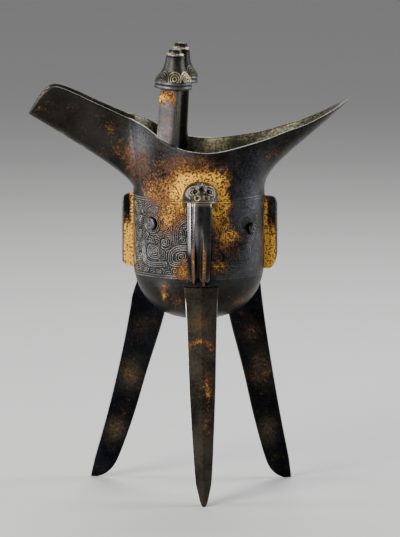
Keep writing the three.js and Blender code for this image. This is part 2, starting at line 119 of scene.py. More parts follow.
LEG_TOP_Z = 94.4
LEG_TOP_WIDTH = 14.6
LEG_TOP_DEPTH = 15.5
LEG_LEAN_START = 0.9
LEG_TOP_SINK = 1.4
LEG_EDGE_ROUND = 0.52
LEG_ARC_STEPS = 7
LEG_SIDE_STEPS = 4

FLANGE_HEIGHT = 33.0
FLANGE_THICKNESS = 3.0
FLANGE_CORNER = 4.0
FLANGE_EDGE_ROUND = 1.0
FLANGE_ROOT = 1.6

rng = np.random.default_rng(7)


# Curves and fields

def ease(low, high, value):
    """0 below low, 1 above high, and 3t^2 - 2t^3 between them."""
    t = np.clip((value - low) / (high - low), 0, 1)
    return t * t * (3 - 2 * t)


def fade(low, high, value):
    """1 below low and 0 above high: what ease() leaves of 1."""
    return 1 - ease(low, high, value)


def bell(value, middle, width, power=2):
    """exp(-q^power), with q the distance of the value from the middle over the width."""
    return np.exp(-(((value - middle) / width) ** power))


def signed_power(value, power):
    """The value's sign times its size raised to the power."""
    return np.sign(value) * np.abs(value) ** power


def smooth(rows, steps):
    """Cubic through the rows of numbers; its slope at a row is half the step between neighbours."""
    rows = np.asarray(rows, float)
    wide = np.vstack([2 * rows[0] - rows[1], rows, 2 * rows[-1] - rows[-2]])
    before, start, end, after = wide[:-3, None], wide[1:-2, None], wide[2:-1, None], wide[3:, None]
    t = (np.arange(steps) / steps)[None, :, None]
    leaving, arriving = (end - before) / 2, (after - start) / 2
    curve = ((2 * t**3 - 3 * t**2 + 1) * start + (t**3 - 2 * t**2 + t) * leaving
             + (3 * t**2 - 2 * t**3) * end + (t**3 - t**2) * arriving)
    return np.vstack([curve.reshape(-1, rows.shape[1]), rows[-1]])


def unit(vectors):
    """Each vector divided by its length."""
    return vectors / np.maximum(np.linalg.norm(vectors, axis=-1, keepdims=True), 1e-9)


def patches(points, spots):
    """Cover between 0 and 1: each spot is a soft ellipsoid exp(-q^2), and covers add up as
    1 minus the product of what each spot leaves bare."""
    bare = np.ones(points.shape[:-1])
    for x, y, z, half_x, half_y, half_z, strength in spots:
        q2 = (((points - (x, y, z)) / (half_x, half_y, half_z)) ** 2).sum(-1)
        bare = bare * (1 - np.minimum(strength * np.exp(-q2), 1))
    return 1 - bare


# Meshes

def closed_loft(rings):
    """Skin through rings of points (rings, around, 3), its two ends closed by fans to their
    middles, faces turned outwards by the sign of the volume that they enclose."""
    count, around = rings.shape[:2]
    points = np.vstack([rings.reshape(-1, 3), rings[0].mean(0), rings[-1].mean(0)])
    at = np.arange(count * around).reshape(count, around)
    right = np.roll(at, -1, axis=1)
    quads = np.stack([at[:-1], right[:-1], right[1:], at[1:]], -1).reshape(-1, 4)
    hubs = np.full((2, around), [[at.size], [at.size + 1]])
    tris = np.stack([hubs, [right[0], at[-1]], [at[0], right[-1]]], -1).reshape(-1, 3)
    corners = points[np.vstack([quads[:, [0, 1, 2]], quads[:, [0, 2, 3]], tris])]
    volume = np.einsum("ij,ij->", corners[:, 0], np.cross(corners[:, 1], corners[:, 2]))
    if volume < 0:
        quads, tris = quads[:, ::-1], tris[:, ::-1]
    return points, quads, tris


def make_piece(name, rings, material, slot, nodes=(), **fields):
    """One mesh object from a closed loft; each field has a value per ring point, is kept as an
    attribute, and takes its end rings' mean at the fans' hubs."""
    points, quads, tris = closed_loft(rings)
    mesh = bpy.data.meshes.new(name)
    mesh.vertices.add(len(points))
    mesh.vertices.foreach_set("co", ((points * MM) + MIDDLE).astype(np.float32).ravel())
    mesh.loops.add(quads.size + tris.size)
    mesh.loops.foreach_set("vertex_index", np.hstack([quads.ravel(), tris.ravel()]).astype(np.int32))
    mesh.polygons.add(len(quads) + len(tris))
    starts = np.hstack([np.arange(len(quads)) * 4, quads.size + np.arange(len(tris)) * 3])
    mesh.polygons.foreach_set("loop_start", starts.astype(np.int32))
    mesh.update(calc_edges=True)
    mesh.validate()
    mesh.shade_smooth()
    for key, field in fields.items():
        values = np.hstack([field.ravel(), field[0].mean(), field[-1].mean()])
        layer = mesh.attributes.new(key, "FLOAT", "POINT")
        layer.data.foreach_set("value", values.astype(np.float32))
    piece = bpy.data.objects.new(name, mesh)
    scene.collection.objects.link(piece)
    piece.data.materials.append(material)
    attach(piece, "root")
    if nodes:
        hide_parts(*nodes)


# Largest share of a side that the rounding of one corner may take.
SIDE_SHARE = 0.45


def rounded_polygon(corners, radius, arc_steps, side_steps):
    """Closed outline round polygons (rows, corners, 2): straight sides, and at each corner a
    parabola between the points that lie one radius from it."""
    steps = [np.roll(corners, shift, axis=1) - corners for shift in (1, -1)]
    lengths = [np.linalg.norm(step, axis=-1, keepdims=True) for step in steps]
    entry, leave = (corners + step * np.minimum(radius / length, SIDE_SHARE)
                    for step, length in zip(steps, lengths))
    t = np.linspace(0, 1, arc_steps)[None, None, :, None]
    arcs = ((1 - t) ** 2 * entry[:, :, None] + 2 * t * (1 - t) * corners[:, :, None]
            + t**2 * leave[:, :, None])
    next_entry = np.roll(entry, -1, axis=1)
    u = (np.arange(side_steps) + 1)[None, None, :, None] / (side_steps + 1)
    sides = leave[:, :, None] * (1 - u) + next_entry[:, :, None] * u
    return np.concatenate([arcs, sides], axis=2).reshape(len(corners), -1, 2)


# Crust of rust and earth: x, y, z, half sizes across, deep and high, strength.
CRUST = [
    (0, -27, 140, 12.5, 14, 8, 1.5), (9, -26, 131, 6.5, 12, 12, 1.2),
    (12.5, -24, 117, 6, 12, 6.5, 0.85), (-9, -26, 133, 8, 12, 8, 0.85),
    (-20, -16, 137, 9, 12, 7, 0.62), (-14, -22, 125, 7, 12, 7, 0.6),
    (-7.4, -26, 102, 3.2, 10, 5, 0.9), (8.5, -25, 104, 5.5, 10, 3.4, 0.74),
    (-15.7, -20, 89.5, 1.7, 10, 3.4, 0.74), (-15.6, -21, 94.5, 2.6, 10, 2.2, 0.5),
    (-8, -24, 147, 9, 10, 4, 0.36), (18.4, -17, 86.8, 3.2, 10, 1.5, 0.66),
    (24, -13, 90, 3.4, 10, 1.6, 0.72), (-29.5, 0, 112, 3, 8, 22, 0.75),
    (30, 0, 118, 3, 8, 22, 0.85), (-27, -13, 150, 9, 10, 8, 0.48), (-36, -9, 154, 6, 8, 6, 0.2),
    (-39.5, -9, 164, 3.6, 6, 5, 0.23), (-60, -7, 158, 10, 8, 2.5, 0.2),
    (-6, -26, 152, 14, 8, 3, 0.34), (24, -10, 152, 9, 8, 6, 0.16), (-6, -20, 87, 18, 12, 8, 0.22),
    (-70, -9, 172, 5, 10, 8, 0.16), (50, -5, 162, 16, 8, 8, 0.1), (33.7, -9, 153.4, 3, 8, 3, 0.34),
]
BACK_CRUST = [
    (x, 25, z, rng.uniform(5, 13), 13, rng.uniform(5, 11), rng.uniform(0.5, 1.1))
    for x, z in zip(rng.uniform(-24, 26, 9), rng.uniform(88, 150, 9))
]


def crust_cover(points):
    """Crust spots of front and back; beside the neck in front the crust breaks off along a wavy
    upright line."""
    cover = patches(points, CRUST + BACK_CRUST)
    x, y, z = np.moveaxis(points, -1, 0)
    wave = 0.9 * np.sin(z * 0.55 + 1) + 0.5 * np.sin(z * 1.7)
    neck = ease(13.2, 15.4, x + wave) * ease(118, 124, z) * (y < 0)
    return cover * (1 - 0.8 * neck * (x < 26))


# Painted slate-grey sheen and highlight spots on the front, in the same columns.
PAINTED_SHEEN = [
    (-23, -14, 111, 7, 10, 8, 0.5), (-21, -16, 131, 5, 10, 5, 0.55),
    (21, -16, 138, 5, 12, 14, 0.12), (-28, -10, 156, 5, 8, 8, 0.4),
    (-16, -20, 94.6, 3, 10, 2.4, 0.9),
]
# Brown bloom and rust on the legs, in the same columns.
LEG_BLOOM = [
    (0, -31, 79, 5, 9, 4, 0.5), (0, -36, 60, 5, 9, 14, 0.2), (-31, 14, 49, 4.4, 9, 6, 0.85),
    (-38, 18, 23, 4.2, 9, 5, 0.8), (-26, 12, 71, 5, 9, 5, 0.25), (28, 13, 52, 5, 9, 8, 0.6),
    (23.5, 11, 69, 4.2, 9, 4.2, 0.45), (31, 16, 23, 4, 9, 6, 0.8),
]
LEG_CRUST = [
    (-4.4, -33, 68.9, 1.9, 9, 1.6, 0.66), (0.6, -33, 71.2, 4.4, 9, 1.4, 0.84),
    (5.4, -33, 68.7, 1.6, 9, 2.4, 0.66), (0.2, -31, 79, 3.6, 9, 2.6, 0.46),
    (4.2, -39, 51, 2.5, 9, 8, 0.56), (3.0, -43, 35, 1.8, 9, 8, 0.4), (-31, 14, 49, 3.4, 9, 4, 0.42),
    (-38, 18, 23, 3, 9, 3.4, 0.36), (23.5, 11, 69, 3.2, 9, 3.2, 0.36),
    *[(28 + 3.1 * np.cos(a), 13, 52 + 5.6 * np.sin(a), 1.7, 9, 1.9, 0.38)
      for a in np.linspace(0, TAU, 9)[:-1]],
]


# Materials

class Wiring:
    """Adds nodes to one material; an input is a plain value or another node's output."""

    def __init__(self, name):
        self.material = bpy.data.materials.new(name)
        self.material.use_nodes = True
        self.tree = self.material.node_tree
        self.tree.nodes.clear()

    def add(self, kind, inputs=(), **settings):
        node = self.tree.nodes.new("ShaderNode" + kind)
        for key, value in settings.items():
            setattr(node, key, value)
        for key, value in dict(inputs).items():
            if isinstance(value, bpy.types.NodeSocket):
                self.tree.links.new(value, node.inputs[key])
            else:
                node.inputs[key].default_value = value
        return node

    def noise(self, where, scale, detail, roughness, distortion=0.0):
        inputs = {"Vector": where, "Scale": scale, "Detail": detail,
                  "Roughness": roughness, "Distortion": distortion}
        return self.add("TexNoise", inputs).outputs[0]

    def ramp(self, value, low, high, to_low=0.0, to_high=1.0):
        inputs = {"Value": value, "From Min": low, "From Max": high,
                  "To Min": to_low, "To Max": to_high}
        node = self.add("MapRange", inputs, interpolation_type="SMOOTHSTEP")
        return node.outputs["Result"]

    def sum(self, a, b, factor):
        """a plus b times a plain factor."""
        inputs = {0: b, 1: factor, 2: a}
        return self.add("Math", inputs, operation="MULTIPLY_ADD").outputs[0]

    def times(self, a, b):
        return self.add("Math", {0: a, 1: b}, operation="MULTIPLY").outputs[0]

    def blend(self, share, a, b):
        """Colour from a to b by the share; a plain colour is red, green and blue."""
        a, b = ((*tone, 1.0) if isinstance(tone, tuple) else tone for tone in (a, b))
        inputs = {0: share, 6: a, 7: b}
        return self.add("Mix", inputs, data_type="RGBA").outputs[2]

    def field(self, name):
        return self.add("Attribute", attribute_name=name).outputs["Fac"]


RUST = (0.13, 0.053, 0.018)
OCHRE = (0.34, 0.145, 0.028)
GOLDEN = (0.98, 0.52, 0.07)
PIT = (0.025, 0.014, 0.008)
SHADE = (0.01, 0.0098, 0.007)
WORN_AND_HIGHLIGHT = (0.27, 0.27, 0.26)
OLD_GOLD = (0.56, 0.47, 0.27)
INNER_DARK = (0.045, 0.045, 0.03)
INNER_LIGHT = (0.215, 0.188, 0.115)
GLEAM = (0.78, 0.76, 0.82)


def bronze(name, dark, light, earth, bloom, shine, speckle):
    """Old bronze: two tones and an earth tone in clouds, a bloom, which on the bowl is a painted
    slate-grey sheen, rust specks, a pitted crust where the crust field is high, painted shade, light
    edges that are partly wear and partly painted highlight, pale motifs and painted white highlights."""
    w = Wiring(name)
    object_point = w.add("TexCoord").outputs["Object"]
    point = w.add("Mapping", {"Vector": object_point, "Scale": (1 / MM,) * 3}).outputs[0]
    clouds = w.noise(point, 0.06, 6.0, 0.6, 0.4)
    drift = w.noise(point, 0.17, 6.0, 0.62)
    grit = w.noise(point, 0.9, 8.0, 0.65)
    fine = w.noise(point, 3.2, 4.0, 0.6)
    crust = w.field("crust")

    tone = w.blend(w.ramp(w.sum(clouds, grit, 0.45), 0.56, 0.9), dark, light)
    tone = w.blend(w.ramp(drift, 0.5, 0.7, 0.0, 0.8), tone, earth)
    # Bloom: brown on the legs and the strap, a painted slate-grey sheen on the bowl.
    tone = w.blend(w.times(w.field("bloom"), w.ramp(grit, 0.35, 0.6, 0.3, 1.0)), tone, bloom)
    inner = w.blend(w.ramp(w.sum(grit, clouds, 0.7), 0.76, 1.02), INNER_DARK, INNER_LIGHT)
    tone = w.blend(w.times(w.field("inside"), 0.88), tone, inner)
    # Painted shade: darkens the tone towards SHADE.
    tone = w.blend(w.times(w.field("hollow"), 0.92), tone, SHADE)
    specks = w.ramp(w.sum(grit, crust, 0.25), 0.67 - speckle, 0.75 - speckle)
    tone = w.blend(w.times(specks, 0.75), tone, RUST)
    # Lighter metal, partly wear and partly painted highlight.
    worn_and_lit = w.times(w.field("wear"), w.ramp(grit, 0.3, 0.6, 0.35, 1.0))
    tone = w.blend(worn_and_lit, tone, WORN_AND_HIGHLIGHT)

    clumps = w.noise(point, 0.24, 7.0, 0.66, 0.3)
    stipple = w.noise(point, 1.0, 2.5, 0.6, 0.3)
    ripple = w.noise(point, 0.11, 3.0, 0.5)
    thickness = w.sum(w.sum(crust, clumps, 1.5), stipple, 1.35)
    film = w.times(w.ramp(thickness, 1.6, 2.0), w.ramp(grit, 0.35, 0.6, 0.3, 0.8))
    tone = w.blend(film, tone, RUST)
    cover = w.ramp(thickness, 1.84, 2.06)
    ripe = w.sum(w.sum(w.times(crust, crust), stipple, 0.8), ripple, 1.3)
    crust_tone = w.blend(w.ramp(ripe, 1.1, 1.55), RUST, OCHRE)
    crust_tone = w.blend(w.ramp(ripe, 1.5, 1.95), crust_tone, GOLDEN)
    bareness = w.sum(1.0, crust, -1.0)
    pits = w.ramp(w.sum(w.noise(point, 1.15, 1.5, 0.5, 0.4), bareness, 0.08), 0.5, 0.6)
    crust_tone = w.blend(w.times(pits, 0.92), crust_tone, PIT)
    # Painted shade also turns the crust rustier.
    crust_tone = w.blend(w.times(w.field("hollow"), 0.85), crust_tone, RUST)
    tone = w.blend(cover, tone, crust_tone)
    motif = w.field("motif")
    tone = w.blend(motif, tone, OLD_GOLD)
    # Painted white highlights, which also take metal away so that they stay bright.
    gleam = w.times(w.field("gleam"), w.ramp(grit, 0.25, 0.5, 0.6, 1.0))
    tone = w.blend(gleam, tone, GLEAM)

    bare = w.sum(1.0, cover, -1.0)
    metal = w.sum(w.times(bare, 0.95), gleam, -0.85)
    rough = w.sum(w.sum(shine, drift, 0.25), cover, 0.4)
    height = w.sum(w.sum(w.times(grit, 0.35), fine, 0.12), cover, 0.8)
    height = w.sum(height, w.times(cover, pits), -0.7)
    normal = w.add("Bump", {"Strength": 0.55, "Distance": 0.16 * MM, "Height": height})
    shader = w.add("BsdfPrincipled", {
        "Base Color": tone, "Metallic": metal, "Roughness": rough, "Specular IOR Level": 0.25,
        "Normal": normal.outputs[0]})
    w.add("OutputMaterial", {"Surface": shader.outputs[0]})
    return w.material


vessel_bronze = bronze(
    "old_bronze_vessel", (0.006, 0.0062, 0.0072), (0.044, 0.044, 0.048),
    (0.036, 0.027, 0.017), (0.17, 0.18, 0.215), 0.3, 0.02)
# Lit and shaded copies of one bronze: the front leg's is painted lighter, as lit, and the side legs'
# darker, as in shade.
lit_front_leg_bronze = bronze(
    "lit_bronze_front_leg", (0.012, 0.012, 0.01), (0.052, 0.048, 0.038),
    (0.045, 0.032, 0.019), (0.12, 0.085, 0.05), 0.34, 0.05)
shaded_side_leg_bronze = bronze(
    "shaded_bronze_side_legs", (0.002, 0.0025, 0.004), (0.009, 0.01, 0.013),
    (0.015, 0.012, 0.008), (0.075, 0.062, 0.038), 0.36, 0.03)
strap_bronze = bronze(
    "rubbed_bronze_strap", (0.01, 0.01, 0.011), (0.06, 0.062, 0.066),
    (0.062, 0.04, 0.022), (0.25, 0.12, 0.04), 0.06, 0.0)
head_bronze = bronze(
    "brown_bronze_head", (0.036, 0.029, 0.021), (0.19, 0.16, 0.115),
    (0.09, 0.062, 0.034), (0.4, 0.36, 0.26), 0.26, 0.0)
post_bronze = bronze(
    "grey_bronze_posts", (0.08, 0.072, 0.072), (0.21, 0.185, 0.187),
    (0.13, 0.1, 0.09), (0.2, 0.2, 0.2), 0.36, -0.02)
cap_bronze = bronze(
    "silvery_bronze_caps", (0.026, 0.026, 0.027), (0.092, 0.09, 0.086),
    (0.07, 0.06, 0.042), (0.2, 0.2, 0.2), 0.32, -0.02)


# Vessel: bowl, spout and tail in one skin

# Rim rows. Tail: shares of its reach, half width and rise, then degrees round the neck. Mouth:
# shares of half length, half width and rise, that rise, degrees. Spout: reach, rise, degrees.
TAIL_ROWS = [
    (1, 0, 1, 0), (0.945, 0.33, 0.93, 3.5), (0.757, 0.705, 0.73, 9), (0.501, 1, 0.516, 17),
    (0.271, 1.1, 0.374, 26), (0.041, 1.34, 0.228, 37),
]
MOUTH_ROWS = [
    (0.748, 0.73, 0.123, TAIL_RISE, 49), (0.408, 0.907, 0.032, TAIL_RISE, 66),
    (0.102, 1, 0, TAIL_RISE, 84), (-0.272, 0.943, 0.115, RIM_STEP_AT_SPOUT, 107),
    (-0.578, 0.79, 0.405, RIM_STEP_AT_SPOUT, 127), (-0.816, 0.58, 0.756, RIM_STEP_AT_SPOUT, 144),
]
SPOUT_ROWS = [
    (0.183, 0.601, 159.5), (0.352, 0.734, 161.5), (0.522, 0.875, 163), (0.65, 0.967, 164.2),
    (0.745, 1.004, 165.5), (0.826, 0.941, 167),
]
BOWL_RIM_STEPS = 15
SPOUT_RIM_STEPS = 9
LIP_STEPS = 28
TIP_FADE = 4.0
# Rings of the bottom, the straight wall and the flaring lines, outside and inside.
OUTSIDE_RINGS = (26, 14, 28)
INSIDE_RINGS = (16, 6, 24)
RIM_RINGS = 9
RIM_FULLNESS = 0.8


def lip_arc(turn, inset):
    """Points of the spout's round lower lip, set inwards, from its side (0) to its keel (90)."""
    down = (SPOUT_LIP_DROP - inset) * np.sin(turn)
    x = -HALF_LENGTH - SPOUT_REACH + SPOUT_END_BACK - down * np.cos(SPOUT_END_TILT)
    z = RIM_LOW_Z + SPOUT_END_RISE - down * np.sin(SPOUT_END_TILT)
    return np.stack([x, (SPOUT_LIP_HALF_WIDTH - inset) * np.cos(turn), z], -1)


def rim_rows():
    """Rows (x, y, z, neck angle, lift) from the tail's tip to the crease and along the spout."""
    tail = [(HALF_LENGTH + r * TAIL_REACH, a * TAIL_HALF_WIDTH, RIM_LOW_Z + h * TAIL_RISE, angle,
             TAIL_LIFT + (MOUTH_LIFT - TAIL_LIFT) * angle / 60) for r, a, h, angle in TAIL_ROWS]
    mouth = [(l * HALF_LENGTH, a * MOUTH_HALF_WIDTH, RIM_LOW_Z + h * scale, angle, MOUTH_LIFT)
             for l, a, h, scale, angle in MOUTH_ROWS]
    crease = (-HALF_LENGTH - CREASE_BACK, SPOUT_HALF_WIDTH + CREASE_OUT,
              RIM_LOW_Z + RIM_STEP_AT_SPOUT, 157.5, MOUTH_LIFT)
    narrowing = SPOUT_LIP_HALF_WIDTH - SPOUT_HALF_WIDTH
    side = [(-HALF_LENGTH - r * SPOUT_REACH, SPOUT_HALF_WIDTH + r * narrowing,
             RIM_LOW_Z + h * SPOUT_TOP_RISE, angle, SPOUT_LIFT) for r, h, angle in SPOUT_ROWS]
    start = (*lip_arc(0.0, 0.0), SPOUT_LIP_ANGLE, SPOUT_LIFT)
    return [*tail, *mouth, crease], [crease, *side, start]


def half_rim(inset):
    """Rim points of one half, moved square to the rim's run by the inset, with neck angle and
    lift. At the tail's tip the inset grows by a land, and its sideways part fades out."""
    bowl_rows, side_rows = rim_rows()
    bowl = smooth(bowl_rows, BOWL_RIM_STEPS)
    run = unit(np.gradient(bowl[:, :2], axis=0))
    share = np.arange(len(bowl)) / len(bowl)
    tip = np.maximum(0, 1 - 2 * share) ** 4
    land = tip * TAIL_TIP_LAND / WALL * inset
    sideways = run[:, 0] * inset * np.clip(bowl[:, 1] / TIP_FADE, 0, 1)
    bowl[:, 0] -= run[:, 1] * inset + land
    bowl[:, 1] += sideways
    bowl[:, 2] -= TAIL_TIP_SLOPE * (land + run[:, 1] * inset * tip)
    side = smooth(side_rows, SPOUT_RIM_STEPS)[1:]
    side[:, 1] -= inset
    share = (np.arange(LIP_STEPS) + 1) / LIP_STEPS
    angle = SPOUT_LIP_ANGLE + (180 - SPOUT_LIP_ANGLE) * share
    lip = np.column_stack([
        lip_arc(np.radians(90) * share, inset), angle,
        np.full(LIP_STEPS, SPOUT_LIFT)])
    return np.vstack([bowl, side, lip])


def whole_rim(inset):
    """The half rim and its mirror image as one loop."""
    half = half_rim(inset)
    back = half[-2:0:-1].copy()
    half[:, [1, 3]] *= -1
    return np.vstack([half, back])


def bottom_rings(inset, floor_z, angles, count):
    """Rounded bottom: level k of a quarter turn t stands out by sin(t)^(2/n) and drops by
    cos(t)^(2/n), with n the squareness."""
    t = np.radians(90) * (np.arange(count) + 1) / count
    out = np.sin(t)[:, None] ** (2 / BOTTOM_SQUARENESS)
    drop = np.clip(np.cos(t), 0, 1)[:, None] ** (2 / BOTTOM_SQUARENESS)
    z = STRAIGHT_Z - drop * (STRAIGHT_Z - floor_z) + 0 * angles
    x = out * (HALF_LENGTH - inset) * np.cos(angles)
    y = out * (HALF_WIDTH - inset) * np.sin(angles)
    return np.stack([x, y, z], -1)


def wall_lines(inset, rim, angles, lifts, count):
    """Wall above the neck: a cubic bow from the neck, rising its lift upright, then running
    towards the rim point, which it stops short of by the rim's rounding."""
    neck = np.stack([(HALF_LENGTH - inset) * np.cos(angles), (HALF_WIDTH - inset) * np.sin(angles),
                     np.full_like(angles, NECK_Z)], -1)
    low = neck + np.stack([0 * lifts, 0 * lifts, lifts], -1)
    end = rim - unit(rim - low) * RIM_ROUND
    high = end + (low - end) * WALL_LINE_FULLNESS
    keel = np.maximum(0, 1 - (angles / TAIL_KEEL_REACH) ** 2) ** 2
    high[:, 2] -= TAIL_KEEL_SAG * keel
    t = (np.arange(count) / (count - 1))[:, None, None]
    rings = (1 - t) ** 3 * neck + 3 * t * (1 - t) ** 2 * low + 3 * t**2 * (1 - t) * high + t**3 * end
    return rings, unit(end - high)


def vessel_side(inset, floor_z, counts):
    """One side of the wall from the bottom up: rounded bottom, straight wall, flaring lines."""
    bottom_count, wall_count, line_count = counts
    rim = whole_rim(inset)
    angles, lifts = np.radians(rim[:, 3]), rim[:, 4]
    bottom = bottom_rings(inset, floor_z, angles, bottom_count)
    lines, leaving = wall_lines(inset, rim[:, :3], angles, lifts, line_count)
    t = (np.arange(1, wall_count) / wall_count)[:, None, None]
    straight = bottom[-1] * (1 - t) + lines[0] * t
    return np.vstack([bottom, straight, lines]), leaving


def make_vessel():
    """Outside and inside of the wall, joined over the rim by a rounded lip."""
    outer, leaving = vessel_side(0.0, FLOOR_Z, OUTSIDE_RINGS)
    inner = vessel_side(WALL, FLOOR_Z + FLOOR_THICKNESS, INSIDE_RINGS)[0]
    middle = (outer[-1] + inner[-1]) / 2
    half = (outer[-1] - inner[-1]) / 2
    t = (np.arange(1, RIM_RINGS) / RIM_RINGS * np.pi)[:, None, None]
    across = signed_power(np.cos(t), RIM_FULLNESS)
    lip = middle + half * across + leaving * RIM_ROUND * np.sin(t) ** RIM_FULLNESS
    rings = np.vstack([outer, lip, inner[::-1]])
    crust = crust_cover(rings)
    row = np.arange(len(rings))[:, None] + 0 * rings[..., 0]
    first_lip, last_lip = len(outer), len(outer) + len(lip)
    inside = ease(first_lip, last_lip, row)
    # The lip is lighter, partly wear and partly a painted highlight: less along the spout and at the
    # tail's tip, more at the spout's end.
    wear = bell(row, (first_lip + last_lip) / 2 - 1, 1.8) * 0.42
    crust = crust * (1 - 0.85 * inside)
    x = rings[..., 0]
    along_spout = ease(31, 34, -x) * fade(64, 70, -x)
    at_tip = ease(58, 66, x)
    wear = wear * (1 - 0.95 * along_spout) * (1 - 0.6 * at_tip) * (1 + 0.7 * (x < -66))
    # Painted highlight on the flaring wall beside the spout's crease.
    wear = np.maximum(wear, patches(rings, [(-26, -14, 158, 5, 9, 9, 0.3)]) * (1 - inside))
    # Painted shade under the bowl, more towards the tail; on the spout's sides; under the rim on the
    # front; and on the tail's outside.
    under = ease(-104, -88, -rings[..., 2]) * (0.7 + 0.3 * ease(-10, 12, x))
    spout_shade = 0.8 * ease(30.6, 31.8, -x)
    below_rim = patches(rings, [(10, -27, 152, 11, 8, 3.2, 0.6)])
    tail_shade = 0.7 * ease(28, 35, x) * fade(56, 66, x)
    shades = np.maximum.reduce([spout_shade, under, below_rim, tail_shade])
    hollow = shades * (1 - inside) * (1 - wear)
    # Painted slate-grey sheen on the front, kept off the inside and the spout.
    bloom = patches(rings, PAINTED_SHEEN) * (1 - inside) * fade(30.4, 31.4, -x)
    keel = patches(rings, [(-63, -2, 160.5, 3, 6, 1.3, 0.55), (-52, -3, 154.4, 2, 6, 1, 0.45)])
    wear = np.maximum(wear, keel * (1 - inside))
    make_piece(
        "vessel", rings, vessel_bronze, "bronze_olive", ["belly", "spout", "tail"], crust=crust,
        inside=inside * (1 - 0.5 * along_spout), wear=wear, hollow=hollow, bloom=bloom)


make_vessel()


# Ornament: a beast's face in relief on each half, over a ground of square-cornered spirals

PANEL_LOW_Z = 97.4
PANEL_HIGH_Z = 134.4
PANEL_STEP = 0.155
PANEL_START = 2.0
SINK = 0.3
QUARTER_ARC = 43.55

# Courses of the beast's strokes: way from the side flange and height in the band.
STROKES = [
    [(31, 33.4), (24, 34.4), (18.6, 33.2), (15, 30.2)],
    [(39.4, 28.6), (36.6, 27), (34.2, 25), (33.3, 22), (33.2, 15.6)],
    [(39.5, 14.6), (33.4, 14.6), (30.7, 12.6), (30.6, 9.0), (32.6, 7.4), (39.5, 7.2)],
    [(18, 19.6), (15.8, 17), (15.2, 12.4), (16.2, 8.2), (20.4, 6.6), (28, 7.4)],
    [(42.6, 31.5), (42, 26), (42.6, 20.6), (41.6, 14.6), (42.6, 8.6)],
    [(7, 33), (4.6, 29), (5, 24), (6.8, 17), (5.4, 11), (7, 6)],
]
STROKE_HALF_LINES = 1.5
# Eyes of the spout's end and of the tail's: degrees round the neck, radius, level.
EYES = {-1: (44.5, 3.0, 122.4), 1: (37.6, 2.6, 119.8)}
# Scrolls: middle, half width, half height.
SCROLLS = [
    (21.4, 12.3, 3.9, 3.5), (35.4, 11.0, 3.0, 2.5), (29.6, 23.5, 2.7, 2.8), (13.2, 26.4, 1.5, 2.0),
    (13.0, 20.0, 1.5, 2.0), (36.4, 18.2, 2.4, 2.3), (35.4, 31.0, 2.0, 2.0), (32.6, 4.6, 1.5, 1.4),
    (12.6, 9.4, 1.6, 2.0), (22.7, 31.0, 1.3, 1.9), (28.0, 17.2, 2.0, 1.7), (17.6, 3.6, 1.8, 1.2),
    (24.8, 3.6, 1.8, 1.2), (9.4, 14.4, 1.5, 1.6),
]
# Eye socket: middle, half width, half height, slope.
SOCKET = (20.6, 25.0, 4.5, 4.1, -0.05)
LINE_PITCH = 0.86
SPIRAL_TILE = 4.7
RELIEF = 0.42


def course_distance(s, z, course):
    """Least distance from each grid point to the straight pieces of a smoothed course."""
    path = smooth(course, 8).astype(np.float32)
    start, run = path[:-1], path[1:] - path[:-1]
    away = np.stack([s, z], -1).astype(np.float32)[..., None, :] - start
    along = np.clip((away * run).sum(-1) / (run**2).sum(-1), 0, 1)
    return np.sqrt(((away - along[..., None] * run) ** 2).sum(-1)).min(-1)


def square_spirals(s, z, tile, pitch):
    """Brickwork of spirals: in each tile a cosine of radius over pitch minus the turn, with the
    radius the fourth root of u^4 + v^4, so that the turns are square with round corners."""
    row = np.floor(z / tile)
    shifted = s + 0.5 * tile * (row % 2)
    column = np.floor(shifted / tile)
    u, v = shifted - (column + 0.5) * tile, z - (row + 0.5) * tile
    hand = np.where((row + column) % 2 == 0, 1.0, -1.0)
    turn = np.arctan2(v, u) * hand / TAU
    return np.cos(TAU * ((u**4 + v**4) ** 0.25 / pitch - turn))


